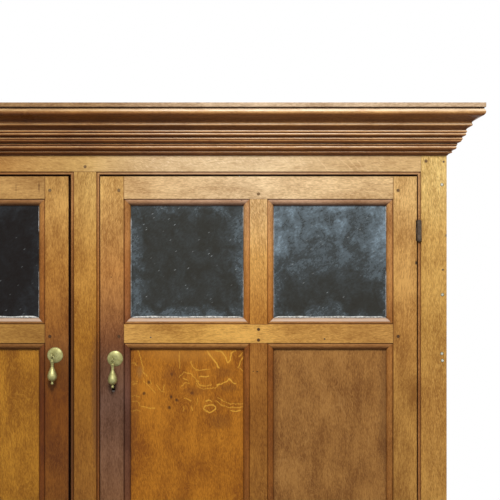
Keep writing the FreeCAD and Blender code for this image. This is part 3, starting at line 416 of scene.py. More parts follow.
# %% Mouldings of the cornice
def with_cornice_shade_and_wear(tree, colour, base, space, upward, dark_wax_and_shade):
    """Paints shade into hollows and undersides, and paints the upward edges pale, unevenly, as rubbed wear and a
    painted highlight, where there is no dark wax or shade.
    """
    shade = put(tree, "AmbientOcclusion", {"Distance": 0.03}, samples=6).outputs["AO"]
    # Painted shade in the deeper hollows of the cornice.
    colour = mix(tree, ease(tree, shade, 0.2, 0.65, 0.9, 0.0), colour, times(tree, colour, (0.4, 0.26, 0.15)))
    # Painted shade on the undersides.
    colour = mix(tree, ease(tree, upward, -0.02, -0.6, 0.0, 0.95), colour, times(tree, colour, (0.47, 0.31, 0.18)))
    # Upward edges painted pale: rubbed wear and a painted highlight from the light above, broken by dents.
    wear_and_highlight = product(tree, ease(tree, upward, -0.1, 0.4, 0.0, 0.9), maths(tree, "SUBTRACT", 1.0, dark_wax_and_shade))
    dents = ease(tree, noise(tree, space, (150, 150, 22), 2.0, 0.6), 0.34, 0.56, 0.45, 1.0)
    colour = mix(tree, product(tree, wear_and_highlight, dents), colour, srgb(250, 224, 186))
    return mix(tree, ease(tree, upward, 0.9, 0.99, 0.0, 0.8), colour, times(tree, base, (0.8, 0.78, 0.8)))


# %% [markdown]
# ## The whole oak finish
# One function puts the layers together for every oak in the cabinet. It starts from a tone that changes along the
# board: it is painted paler towards the top of the cabinet, as painted light from above, and the part round the pulls
# is dark from hands. Dark wax and painted shade go on last, where the ambient occlusion node finds a hollow. Each board
# could have a material of its own, but then a change to the wood would have to be made twenty times.

# %% The oak finish
def oak(name, along, tones, over="Z", beside=None, seams=None, openings=(), strip=0.0, joints=(), spots=(),
        tint=(0.76, 0.62, 0.61), line=0.08, dust=0.0, grain=1.0, bands=0.5, mottle=1.0, flecks=0.4, slope=0.4,
        figure=0.0, strokes=(), rough=0.42, shine=0.2, moulded=False, veil=()):
    """Waxed oak: tone, streaks, rays, pores and stains, moulding, hairlines, and dark wax with painted shade in the
    hollows.

    The grain runs along the axis along, and stops at seams. tones run along the axis over; beside is (axis, metres,
    tones), other tones past that place. grain, bands, mottle, flecks and figure are shares of those layers, and
    strokes are (runs, width, share, lift). Within strip of the openings is moulding, with a tint and shares of line
    and dust; moulded is moulding all over. joints are (axis, metres), where boards meet in a dark hairline. spots are
    (centre, size, colour, share), and veil is a tone along X that darkens the rest.
    """
    material, tree = new_material(name)
    place, axes, space = grain_space(tree, along, seams)
    base = tone_ramp(tree, axes[over], tones)
    if beside:
        axis, metres, other = beside
        past = maths(tree, "GREATER_THAN", maths(tree, "ABSOLUTE", axes[axis]), metres)
        base = mix(tree, past, base, tone_ramp(tree, axes[over], other))
    colour, dark, bent, fine, fibre, cloud = streaked(tree, base, space, grain, bands, mottle)
    colour = with_rays(tree, colour, base, axes, space, bent, flecks, slope, figure, strokes)
    colour, pores = with_pores(tree, colour, dark, place, bent, fine, spots)
    upward = parts(tree, put(tree, "NewGeometry").outputs["Normal"])[2]
    # Hollows that the ambient occlusion node finds get dark wax and painted shade.
    hollow = put(tree, "AmbientOcclusion", {"Distance": 0.012}, samples=6).outputs["AO"]
    dark_wax_and_shade = ease(tree, hollow, 0.3, 0.95, 0.95, 0.0)
    if openings:
        colour, dark_wax_and_shade = with_edge_moulding(tree, colour, base, axes, upward, dark_wax_and_shade, openings, strip, tint, line, dust)
    if moulded:
        colour = with_cornice_shade_and_wear(tree, colour, base, space, upward, dark_wax_and_shade)
    if veil:
        colour = mix(tree, 1.0, colour, tone_ramp(tree, axes["X"], veil), "MULTIPLY")
    for axis, metres in joints:
        hairline = ease(tree, apart(tree, axes[axis], metres), 0.0003, 0.0013, 0.7, 0.0)
        colour = mix(tree, hairline, colour, times(tree, base, (0.3, 0.22, 0.2)))
    # Dark wax and painted shade in the hollows.
    colour = mix(tree, dark_wax_and_shade, colour, times(tree, colour, (0.14, 0.06, 0.03)))
    height = maths(tree, "SUBTRACT", maths(tree, "ADD", fine, fibre), pores)
    soft = put(tree, "Bevel", {"Radius": 0.0009}, samples=4).outputs[0]
    bump = put(tree, "Bump", {"Height": height, "Strength": 0.13, "Distance": 0.0006, "Normal": soft})
    gloss = ease(tree, cloud, 0.25, 0.75, rough - 0.08, rough + 0.1)
    gloss = maths(tree, "ADD", gloss, product(tree, dark_wax_and_shade, 0.4))
    shader = put(tree, "BsdfPrincipled", {"Base Color": colour, "Roughness": gloss, "Normal": bump.outputs[0]})
    shader.inputs["Specular IOR Level"].default_value = shine
    show(tree, shader)
    return material


# %% [markdown]
# ## Oak of the case
# The frieze is the palest board, its paleness partly painted light from above; the stiles are honey-coloured and
# painted darker downwards, as that light falls off; and the ends, back and inside are duller because nobody waxed them.
# One oak for all of them would be quicker, but the grain would then run across half of the boards. A bead runs round
# each doorway. The mouldings of the cornice run along the front and return along the ends, so their grain turns at the
# mitre.

# %% Finish the face frame
def finish(material, *names):
    """Gives a material to CAD nodes."""
    for name in names:
        mesh = nodes[name].data
        mesh.materials.clear()
        mesh.materials.append(material)


BEAD = 0.0065
BEAD_TINT = (0.72, 0.57, 0.72)
STILE_EDGE = 0.6385
CENTRE_EDGE = 0.021
doorways = [(left, right, foot, head) for left, right in ((-0.632, -0.0275), (0.0275, 0.632))
            for foot, head in ((0.892, 1.7), (0.175, 0.83))]
beaded = {"openings": doorways, "strip": BEAD}
frieze_tones = [(-0.6, (189, 146, 86)), (-0.16, (176, 128, 67)), (0.0, (200, 160, 95)), (0.14, (218, 186, 140)),
                (0.33, (223, 193, 149)), (0.6, (215, 178, 123))]
FRIEZE_RAYS = [
    [(4777, 17346), (4960, 17205), (5096, 17078)], [(4984, 17334), (5198, 17087)], [(5168, 17283), (5292, 17099)],
    [(5447, 17262), (5662, 17067)], [(5848, 17180), (6074, 17078)], [(4404, 17343), (4612, 17082)],
]
frieze = oak("frieze_oak", "X", frieze_tones, over="X", tint=(0.62, 0.47, 0.42), line=0.3, flecks=0.35,
             slope=0.7, grain=0.45, mottle=0.7, joints=[("X", -STILE_EDGE), ("X", STILE_EDGE)],
             strokes=[(FRIEZE_RAYS, 0.0013, 0.5, (1.2, 1.25, 1.35))], **beaded)
finish(frieze, "frieze_rail")
# The stile and centre tones grow paler towards the top: painted light from above, falling off downwards.
stile_tones = [(0.0, (180, 129, 61)), (1.0, (184, 134, 64)), (1.27, (186, 134, 64)), (1.41, (192, 143, 69)),
               (1.58, (204, 158, 84)), (1.72, (228, 193, 119))]
stile = oak("stile_oak", "Z", stile_tones, tint=BEAD_TINT, line=0.3, slope=0.3,
            spots=[((0.6865, FACE, 1.5850), (0.003, 0.02, 0.005), (96, 66, 36), 0.9)], **beaded)
finish(stile, "right_front_stile", "left_front_stile")
centre_tones = [(0.0, (166, 113, 48)), (1.0, (160, 107, 45)), (1.27, (150, 97, 30)), (1.39, (168, 111, 34)),
                (1.54, (184, 131, 58)), (1.71, (196, 155, 87))]
centre_marks = [((-0.0245, FACE, 1.30), (0.0065, 0.05, 0.36), (100, 66, 26), 0.85),
                ((0.0215, FACE, 1.27), (0.013, 0.05, 0.18), (112, 70, 36), 0.75)]
centre = oak("centre_oak", "Z", centre_tones, tint=BEAD_TINT, line=0.2, joints=[("Z", 1.7065), ("Z", 0.8855)],
             spots=centre_marks, **beaded)
finish(centre, "centre_stiles")
rail = oak("rail_oak", "X", [(0.0, (180, 130, 66)), (1.0, (190, 140, 74))], dust=0.5,
           joints=[("X", place) for place in (-STILE_EDGE, -CENTRE_EDGE, CENTRE_EDGE, STILE_EDGE)], **beaded)
finish(rail, "waist_rail", "bottom_rail")
print("face frame finished round", len(doorways), "doorways")

# %% Finish the cornice, ends, back and inside
# This tone multiplies the cornice's colour along X: darkest from 0.3 m left of the middle to just right of it, a little
# dark at the left end, full tone from 0.3 m right.
cornice_veil = [(-0.7, (236, 228, 214)), (-0.3, (203, 186, 155)), (0.03, (206, 189, 160)), (0.13, (230, 222, 212)),
                (0.3, (255, 255, 255))]
cornice = oak("cornice_oak", "round", [(1.73, (186, 132, 77)), (1.821, (200, 151, 93)), (1.823, (194, 164, 130))],
              flecks=0.25, rough=0.32, shine=0.3, moulded=True, veil=cornice_veil)
finish(cornice, "cornice_cap", "cornice_crown", "cornice_reeding", "cornice_bed")
END_SEAMS = (-0.0361, 0.1226)
END_FRONT_EDGE = -0.19475
ends = oak("end_oak", "Z", [(0.0, (160, 112, 58)), (1.8, (184, 136, 74))], seams=("Y", END_SEAMS), bands=1.3,
           mottle=0.5, joints=[("Y", place) for place in (*END_SEAMS, END_FRONT_EDGE)])
finish(ends, "left_side_boards", "right_side_boards")
BACK_WIDTH = 1.352
BACK_BOARDS = 7
back_seams = [BACK_WIDTH * (i / BACK_BOARDS - 0.5) for i in range(1, BACK_BOARDS)]
back = oak("back_oak", "Z", [(0.0, (122, 92, 62)), (1.8, (138, 106, 74))], seams=("X", back_seams), bands=1.5,
           mottle=0.6, joints=[("X", seam) for seam in back_seams], flecks=0.1, rough=0.7)
finish(back, "back_boards")
inside = oak("inside_oak", "X", [(0.0, (150, 112, 70)), (1.8, (150, 112, 70))], seams=("Y", (-0.0521, 0.1146)),
             bands=1.3, mottle=0.6, flecks=0.1, rough=0.65)
finish(inside, "shelves", "cupboard_floors", "door_stops", "top_boards")
batten = oak("batten_oak", "Y", [(0.0, (140, 104, 66)), (1.8, (140, 104, 66))], flecks=0.0, rough=0.65)
finish(batten, "shelf_bearers")
print("cornice, ends, back and inside finished")

# %% [markdown]
# ## Oak of the doors
# Each door has upright stiles and muntins, level rails and upright panels. Their grain could be turned by a map on
# each solid, but it is simpler to give uprights and rails an oak of their own. The lock stiles turn dark and reddish
# where hands have pulled them open for years. The hinge stiles stay honey.

# %% Tones of the door frames
OVOLO = 0.0127
COLUMNS = {"left": ((-0.5728, -0.36), (-0.3019, -0.0891)), "right": ((0.0862, 0.3005), (0.3585, 0.5728))}
ROWS = {"upper": ((1.4286, 1.642), (0.9548, 1.368)), "lower": ((0.5586, 0.772), (0.2378, 0.498))}
DOORS = [side + "_" + level + "_door" for side in COLUMNS for level in ROWS]
# The door tones grow paler towards the top too: painted light from above, added to the wood's own tone and the
# darkening from hands.
hinge_tones = [(0.2, (181, 131, 64)), (1.0, (179, 129, 62)), (1.27, (177, 127, 60)), (1.41, (183, 130, 63)),
               (1.56, (200, 151, 84)), (1.71, (215, 174, 111))]
lock_tones = {
    "left": [(0.2, (129, 78, 29)), (0.6, (115, 65, 23)), (0.9, (138, 86, 32)), (1.27, (113, 61, 12)),
             (1.34, (110, 63, 18)), (1.375, (124, 75, 32)), (1.41, (152, 96, 38)), (1.52, (179, 123, 53)),
             (1.71, (188, 144, 79))],
    "right": [(0.2, (136, 88, 50)), (0.6, (114, 79, 63)), (0.9, (142, 94, 51)), (1.27, (107, 75, 58)),
              (1.34, (113, 76, 52)), (1.378, (120, 74, 42)), (1.41, (140, 89, 49)), (1.52, (180, 123, 62)),
              (1.71, (206, 162, 93))],
}
head_tones = {
    "left": [(-0.6, (188, 143, 82)), (-0.1, (182, 139, 80))],
    "right": [(0.05, (202, 161, 106)), (0.16, (212, 176, 127)), (0.3, (224, 192, 147)), (0.58, (210, 173, 121))],
}
middle_tones = {
    "left": [(-0.6, (177, 130, 62)), (-0.1, (171, 124, 58))],
    "right": [(0.08, (196, 145, 73)), (0.2, (210, 157, 75)), (0.35, (208, 155, 77)), (0.58, (190, 139, 71))],
}
muntin_tones = [(0.9, (166, 114, 49)), (1.27, (151, 96, 34)), (1.38, (165, 108, 44)), (1.43, (191, 130, 54)),
                (1.54, (205, 152, 79)), (1.64, (217, 176, 118))]
print("tones for", DOORS)

# %% Finish the door frames
HINGE_SIDE = 0.34
HEAD_RAIL_FOOT = 1.5
MUNTIN_ENDS = [("Z", 1.6547), ("Z", 1.4159), ("Z", 1.3807)]
# The hinge stile has a near-black spot, the painted shade of a chip in its edge; the keyhole has a bright lip, the left
# head rail two cracks and the muntin two dents.
# The near-black spot below is painted shade standing for a chip.
stile_marks = [((0.6288, FACE, 1.5328), (0.0022, 0.03, 0.0055), (24, 15, 10), 1.0),
               ((0.0536, FACE, 1.2896), (0.0036, 0.01, 0.0024), (166, 156, 150), 0.9)]
rail_marks = [((-0.1313, FACE, 1.675), (0.001, 0.02, 0.018), (92, 56, 26), 0.6),
              ((-0.0876, FACE, 1.678), (0.0018, 0.02, 0.016), (84, 48, 22), 0.7)]
muntin_marks = [((0.3195, FACE, 1.3272), (0.0026, 0.02, 0.0014), (46, 28, 14), 0.9),
                ((0.3272, FACE, 1.3264), (0.0024, 0.02, 0.0016), (46, 28, 14), 0.9)]
for side, columns in COLUMNS.items():
    for level, rows in ROWS.items():
        door = side + "_" + level + "_door"
        ovolo = {"openings": [(*column, *row) for column in columns for row in rows], "strip": OVOLO}
        outer, inner = sorted((abs(columns[0][0]), abs(columns[1][1])), reverse=True)
        sign = 1 if side == "right" else -1
        shoulders = [("X", sign * (inner - OVOLO)), ("X", sign * (outer + OVOLO))]
        uprights = oak(door + "_stile_oak", "Z", lock_tones[side], beside=("X", HINGE_SIDE, hinge_tones),
                       joints=shoulders, slope=-0.35, mottle=1.5,
                       spots=stile_marks if door == "right_upper_door" else [], **ovolo)
        rails = oak(door + "_rail_oak", "X", middle_tones[side], over="X",
                    beside=("Z", HEAD_RAIL_FOOT, head_tones[side]), tint=(0.63, 0.52, 0.6), line=0.3,
                    dust=0.72, joints=shoulders, grain=0.8, flecks=0.2,
                    spots=rail_marks if door == "left_upper_door" else [], **ovolo)
        if level == "upper":
            muntins = oak(door + "_muntin_oak", "Z", muntin_tones, joints=MUNTIN_ENDS,
                          spots=muntin_marks if side == "right" else [], **ovolo)
            finish(uprights, door + "_stiles")
            finish(muntins, door + "_muntins")
            finish(rails, door + "_rails", door + "_glazing_beads")
        else:
            finish(uprights, door + "_uprights")
            finish(rails, door + "_rails")
print(len(DOORS), "door frames finished")

# %% [markdown]
# ## Figured panels
# The panels were cut across the rays of the log, so pale lines wander over them. On most panels a broken contour
# pattern is enough. The panel beside the right-hand pull is the showpiece, with bold loops. A painted picture could
# show them, but it needs a file and blurs close up, so there the lines are drawn one by one.

# %% Draw the showpiece panel
BOLD_RAYS = [
    [(2470, 13658), (2546, 13658), (2614, 13621), (2716, 13421), (2758, 13468), (2775, 13604), (2851, 13658)],
    [(2317, 13655), (2376, 13553), (2461, 13451), (2538, 13332)],
    [(2504, 13002), (2631, 13035), (2733, 13112), (2851, 13018)], [(2173, 13171), (2249, 13154), (2343, 13171)],
    [(2283, 12696), (2343, 12713), (2402, 12688)],
    [(2334, 12611), (2427, 12620), (2475, 12577), (2465, 12527), (2410, 12488), (2351, 12476), (2292, 12504),
     (2254, 12560), (2283, 12603), (2334, 12611)], [(2767, 12510), (2851, 12498), (2953, 12521)],
    [(3013, 13536), (2962, 13477), (2911, 13332)],
]
FINE_RAYS = [
    [(2928, 13536), (2970, 13604), (3013, 13621)], [(2945, 13324), (3013, 13256)],
    [(2003, 13451), (2037, 13366), (2105, 13281), (2360, 13298)],
    [(1791, 13146), (1868, 13248), (2003, 13214), (2156, 13061)], [(1834, 12985), (1901, 13044), (1969, 13035)],
    [(2088, 13044), (2156, 12959), (2241, 12925), (2461, 12942), (2512, 12985)],
    [(2105, 13078), (2190, 12993), (2292, 12976), (2393, 13002)],
    [(2487, 12705), (2580, 12620), (2733, 12569), (3013, 12577)],
    [(2512, 12772), (2631, 12688), (2750, 12637), (3013, 12645)], [(1104, 13078), (1223, 12959), (1325, 12857)],
    [(1350, 13010), (1435, 12883), (1494, 12866)], [(1002, 13655), (1079, 13400), (1096, 13248), (1172, 13163)],
    [(880, 13052), (935, 13081), (985, 13061)], [(901, 13010), (943, 13039), (982, 13024)],
    [(884, 13417), (943, 13417), (977, 13375)], [(884, 12789), (968, 12793), (1028, 12773)],
    [(884, 12684), (977, 12694), (1011, 12667), (1028, 12620)],
    [(1028, 12603), (1155, 12577), (1223, 12552), (1316, 12560)], [(884, 12504), (968, 12518), (1036, 12510)],
    [(1851, 12501), (1871, 12552), (1864, 12577)], [(2020, 12603), (2041, 12518)], [(2139, 12739), (2125, 12637)],
    [(1494, 13010), (1477, 12908)], [(1223, 13078), (1248, 13010)], [(1851, 13129), (1935, 13095)],
    [(1783, 13638), (1796, 13315)], [(1885, 12756), (2003, 12705)],
]
KNOTS = [(0.1639, 1.3205), (0.1206, 1.3052), (0.1113, 1.284), (0.163, 1.2772), (0.1732, 1.2713), (0.2029, 1.2849),
         (0.1596, 1.2569)]
# Darker and paler patches on the showpiece panel, as (x, z, width, height, colour); the last three are tall dark strips
# along the panels' upright edges.
PANEL_PATCHES = [(0.2665, 1.3231, 0.03, 0.012, (118, 68, 24)), (0.2733, 1.2942, 0.026, 0.01, (106, 62, 22)),
         (0.1613, 1.3214, 0.022, 0.018, (126, 72, 24)), (0.2088, 1.2874, 0.03, 0.012, (112, 60, 20)),
         (0.1028, 1.3248, 0.008, 0.016, (150, 110, 62)), (0.255, 1.23, 0.03, 0.02, (112, 66, 24)),
         (0.19, 1.366, 0.11, 0.03, (205, 140, 56)), (0.0862, 1.25, 0.024, 0.16, (110, 62, 22)),
         (0.3585, 1.25, 0.012, 0.2, (96, 54, 22)), (0.5728, 1.25, 0.02, 0.2, (96, 60, 30))]
PANEL_FACE = FACE + 0.009
RAY_LIFT = (1.9, 2.7, 4.5)
showpiece_rays = [(BOLD_RAYS, 0.0019, 0.85, RAY_LIFT), (FINE_RAYS, 0.0014, 0.6, RAY_LIFT)]
showpiece_marks = [((x, PANEL_FACE, z), (0.004, 0.02, 0.005), (62, 30, 12), 0.8) for x, z in KNOTS]
showpiece_marks += [((x, PANEL_FACE, z), (wide, 0.02, tall), tone, 0.4) for x, z, wide, tall, tone in PANEL_PATCHES]
print(len(BOLD_RAYS) + len(FINE_RAYS), "rays and", len(showpiece_marks), "marks drawn")

# %% Finish the panels, pegs and turn buttons
panel_tones = {
    "left_upper_door": ((-0.33, (170, 114, 34)), (-0.32, (170, 114, 34))),
    "right_upper_door": ((0.325, (171, 106, 26)), (0.335, (154, 106, 52))),
    "left_lower_door": ((-0.335, (157, 108, 48)), (-0.325, (163, 110, 46))),
    "right_lower_door": ((0.325, (163, 110, 45)), (0.335, (155, 106, 50))),
}
for door, tones in panel_tones.items():
    showpiece = door == "right_upper_door"
    panel = oak(door + "_panel_oak", "Z", tones, over="X", figure=0.35, flecks=0.3, grain=1.2, mottle=1.7,
                strokes=showpiece_rays if showpiece else [], spots=showpiece_marks if showpiece else [])
    finish(panel, door + "_panels")
peg_oak = oak("peg_oak", "Y", [(1.42, (86, 58, 34)), (1.6, (126, 98, 64))], flecks=0.0, rough=0.6)
finish(peg_oak, "case_pegs", *[door + "_pegs" for door in DOORS])
button_oak = oak("button_oak", "Z", [(0.0, (150, 104, 60)), (1.8, (150, 104, 60))], flecks=0.1)
finish(button_oak, "left_upper_door_turn_button", "left_lower_door_turn_button")
print("panels of", len(panel_tones), "doors finished")

# %% [markdown]
# ## Dusty old glass
# The panes are painted dark where no haze lies: painted shade for the larder behind them, which is unlit. Years of dust
# and wiping leave a bluish haze on them, thickest near the edges, with bright flecks. A second sheet could carry the
# dust, but two sheets so close would shade each other. Instead one mask, made from noise and from the distance to the
# pane's edge, drives colour, roughness and how much light passes.

# %% Finish the panes
PANE_CENTRES = (0.1933, 0.4657)
PANE_MIDDLE = 1.5353
PANE_HALF_WIDTH = 0.1072
PANE_HALF_HEIGHT = 0.1067


def dusty_glass(name, amount, clear, shade_behind):
    """Glass under haze = amount x cloud x slanted wisps x (a little, more at the edge and at the outer panes' head).

    Where there is no haze, the glass has a painted dark colour, the painted shade of the unlit larder behind it, and
    lets the share clear of the light through.
    """
    material, tree = new_material(name)
    place = here(tree)
    axes = parts(tree, place)
    across = maths(tree, "ABSOLUTE", axes[0])
    first, second = [apart(tree, across, centre) for centre in PANE_CENTRES]
    sideways = maths(tree, "DIVIDE", maths(tree, "MINIMUM", first, second), PANE_HALF_WIDTH)
    upward = maths(tree, "DIVIDE", apart(tree, axes[2], PANE_MIDDLE), PANE_HALF_HEIGHT)
    cloud = ease(tree, noise(tree, place, (32, 32, 28), 5.0, 0.62, 0.7), 0.27, 0.77)
    ragged = maths(tree, "ADD", maths(tree, "MAXIMUM", sideways, upward), product(tree, cloud, 0.3))
    edge = ease(tree, ragged, 0.8, 1.3)
    slant = put(tree, "VectorRotate", {"Vector": place, "Angle": 0.6}, rotation_type="Y_AXIS").outputs[0]
    wisp = ease(tree, noise(tree, slant, (170, 170, 290), 4.0, 0.72, 0.6), 0.28, 0.75, 0.5, 1.5)
    outer = product(tree, ease(tree, across, 0.32, 0.36), ease(tree, axes[2], 1.46, 1.61))
    spread = maths(tree, "ADD", product(tree, edge, 0.29), product(tree, outer, 0.47))
    haze = maths(tree, "ADD", product(tree, cloud, 0.8), 0.3)
    haze = product(tree, haze, maths(tree, "ADD", spread, 0.115))
    haze = product(tree, product(tree, haze, wisp), amount)
    across_slant, _, up_slant = parts(tree, slant)
    flat = put(tree, "CombineXYZ", {0: across_slant, 1: up_slant}).outputs[0]
    scaled = vector_maths(tree, "MULTIPLY", flat, (42, 170, 0))
    dots = put(tree, "TexVoronoi", {"Vector": scaled, "Scale": 1.0}, voronoi_dimensions="2D")
    chance, bright, _ = parts(tree, dots.outputs["Color"])
    fleck = product(tree, ease(tree, dots.outputs["Distance"], 0.03, 0.12, 1.0, 0.0),
                    maths(tree, "GREATER_THAN", chance, 0.84))
    fleck = product(tree, fleck, product(tree, bright, 0.2 + 0.4 * amount))
    # Painted shade of the unlit larder behind the pane, under the haze.
    colour = mix(tree, haze, srgb(*shade_behind), srgb(134, 152, 164))
    colour = mix(tree, fleck, colour, srgb(206, 212, 214))
    clearness = ease(tree, maths(tree, "MAXIMUM", haze, fleck), 0.0, 0.6, clear, 0.0)
    dull = ease(tree, haze, 0.0, 0.7, 0.15, 0.6)
    shader = put(tree, "BsdfPrincipled", {"Base Color": colour, "Roughness": dull, "Transmission Weight": clearness})
    shader.inputs["IOR"].default_value = 1.45
    shader.inputs["Specular IOR Level"].default_value = 0.1
    show(tree, shader)
    return material


# The last colour of each pane is the painted shade of the larder behind it.
for side, amount, clear, shade_behind in (("left", 0.25, 0.12, (22, 13, 8)), ("right", 1.0, 0.25, (48, 44, 33))):
    finish(dusty_glass(side + "_dusty_glass", amount, clear, shade_behind), side + "_upper_door_panes")
print("panes finished")

# %% [markdown]
# ## Brass and iron
# The pulls are pale brass with a green cast. The hinges, bolts and lock cases are dark iron with a brown bloom. One
# plain metallic colour would look new, so a noise changes colour and roughness together, and dirt lies in the hollows.

# %% Finish the metal
def old_metal(name, light, dark, metallic, rough, scale, dirt):
    """Metal whose colour and roughness follow one noise, with a share of dark dirt in the hollows."""
    material, tree = new_material(name)
    bloom = noise(tree, here(tree), (scale, scale, scale), 3.0, 0.6)
    colour = mix(tree, ease(tree, bloom, 0.35, 0.68), srgb(*dark), srgb(*light))
    hollow = put(tree, "AmbientOcclusion", {"Distance": 0.006}, samples=6).outputs["AO"]
    colour = mix(tree, ease(tree, hollow, 0.3, 0.95, dirt, 0.0), colour, srgb(44, 36, 18))
    dull = ease(tree, bloom, 0.3, 0.7, rough + 0.12, rough - 0.06)
    bump = put(tree, "Bump", {"Height": bloom, "Strength": 0.12, "Distance": 0.0004})
    shader = put(tree, "BsdfPrincipled", {"Base Color": colour, "Roughness": dull, "Normal": bump.outputs[0]})
    shader.inputs["Metallic"].default_value = metallic
    show(tree, shader)
    return material


brass = old_metal("pale_brass", light=(172, 168, 116), dark=(146, 141, 92), metallic=1.0, rough=0.52, scale=110.0,
                  dirt=0.5)
iron = old_metal("dark_iron", light=(106, 92, 78), dark=(72, 60, 50), metallic=0.8, rough=0.42, scale=90.0, dirt=0.85)
for door in DOORS:
    finish(brass, door + "_pull_rose")
    finish(iron, door + "_hinge_leaves")
finish(iron, "case_hinge_halves")
finish(iron, *[name for name in nodes if "_lock_" in name])
print("metal finished")

# %% [markdown]
# ## Turned drops
# Each pull ends in a cast drop: an eye, a flared neck with a small bead, a pear and a finial. It could be lathed
# from a curve with the Screw modifier. Here the outline is a list of radii, a smooth curve through them gives more
# of them, and a full turn of each makes a ring. The drop stands for the plainer solid, and hangs from the same loop.

# %% Helpers for new pieces
def new_piece(name, corners, faces, material, body):
    """A mesh object at the origin, from arrays of corners and of four-cornered faces, that rides on a body."""
    mesh = bpy.data.meshes.new(name)
    mesh.from_pydata(corners.reshape(-1, 3).tolist(), [], faces.reshape(-1, 4).tolist())
    mesh.polygons.foreach_set("use_smooth", np.ones(len(mesh.polygons), dtype=bool))
    mesh.materials.append(material)
    piece = new_object(name, mesh)
    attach(piece, body)
    print(name, "has", len(mesh.polygons), "faces")
    return piece


def tube_faces(rows, columns):
    """Faces of a tube of rings, closed round and at both ends. They look outwards if the rings turn to the left."""
    index = np.arange(rows * columns).reshape(rows, columns)
    beside = np.roll(index, -1, axis=1)
    sides = np.stack([index[:-1], beside[:-1], beside[1:], index[1:]], axis=-1).reshape(-1, 4)
    k = np.arange(columns // 2 - 1)
    cap = np.stack([k, columns - 1 - k, columns - 2 - k, k + 1], axis=-1)
    return np.concatenate([sides, cap, cap[:, ::-1] + (rows - 1) * columns])


# %% Shape of a drop
def smooth_through(points, steps=5):
    """A smooth curve through points.

    From b to c, after a and before d, it is half of 2b + (c - a)t + (2a - 5b + 4c - d)t^2 + (3b - a - 3c + d)t^3.
    """
    padded = np.concatenate([points[:1], points, points[-1:]])
    a, b, c, d = (padded[i:len(padded) - 3 + i, None, :] for i in range(4))
    t = np.linspace(0, 1, steps, endpoint=False)[None, :, None]
    curve = (2 * b + (c - a) * t + (2 * a - 5 * b + 4 * c - d) * t ** 2 + (3 * b - a - 3 * c + d) * t ** 3) / 2
    return np.concatenate([curve.reshape(-1, points.shape[1]), points[-1:]])


def turned_drop(eye, outline, eye_radius=0.003, wire=0.0013, sides=32, round_wire=16):
    """A turned body under an eye. outline is a list of (radius, height) in millimetres.

    Body: at height h and turn a the corner is eye + (r(h) cos a, r(h) sin a, h). Eye: at turn a and at turn b round
    the wire it is eye + ((R + w cos b) cos a, w sin b, (R + w cos b) sin a).
    """
    radius, height = smooth_through(np.array(outline)).T / 1000
    a = np.linspace(0, 2 * np.pi, sides, endpoint=False)
    level = np.ones(sides)
    body = np.stack([np.outer(radius, np.cos(a)), np.outer(radius, np.sin(a)), np.outer(height, level)], axis=-1)
    b = np.linspace(0, 2 * np.pi, round_wire, endpoint=False)
    reach = eye_radius + wire * np.cos(b)
    ring = [np.outer(np.cos(a), reach), np.outer(level, wire * np.sin(b)), np.outer(np.sin(a), reach)]
    ring = np.stack(ring, axis=-1)
    index = np.arange(sides * round_wire).reshape(sides, round_wire)
    beside = np.roll(index, -1, axis=1)
    ring_faces = np.stack([index, beside, np.roll(beside, -1, axis=0), np.roll(index, -1, axis=0)], axis=-1)
    corners = np.concatenate([body.reshape(-1, 3), ring.reshape(-1, 3)]) + eye
    return corners, np.concatenate([tube_faces(len(radius), sides), ring_faces.reshape(-1, 4) + body.size // 3])


# %% Build the drops
DROP_OUTLINE = [(0.3, -50.4), (1.3, -50.2), (2.4, -49.3), (2.8, -47.8), (2.4, -46.2), (2.0, -45.0), (2.4, -44.0),
                (3.8, -43.2), (5.6, -42.0), (7.2, -40.2), (8.5, -37.4), (8.9, -33.6), (8.0, -29.0), (6.3, -24.5),
                (4.5, -20.0), (3.2, -16.8), (2.7, -15.7), (3.2, -14.9), (3.3, -14.1), (2.8, -13.3), (3.1, -10.5),
                (3.7, -7.6), (4.1, -6.2), (4.0, -5.2), (3.4, -4.4), (2.8, -3.7), (1.4, -3.3), (0.3, -3.2)]
EYE_BELOW_PIVOT = 0.0043
PULL_REACH = 0.015
pivots = {"left_upper_door": (-0.06, 1.3577), "right_upper_door": (0.054, 1.3512),
          "left_lower_door": (-0.06, 0.6837), "right_lower_door": (0.054, 0.6772)}
for door, (x, z) in pivots.items():
    corners, faces = turned_drop(np.array((x, FACE - PULL_REACH, z - EYE_BELOW_PIVOT)), DROP_OUTLINE)
    drop = new_piece(door + "_pull_pear", corners, faces, brass, door + "_pull_drop")
    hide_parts(door + "_pull_drop")

# %% [markdown]
# ## Putty, plugs and nails
# Old putty shows as a broken white line where the glass meets the wood, mostly along the foot of each pane. It could
# be painted on the glass, but it stands proud. So it is a quarter round carried along the edge, with a radius that
# wanders. Nail heads and the filled holes of old nails are shallow domes for the same reason.

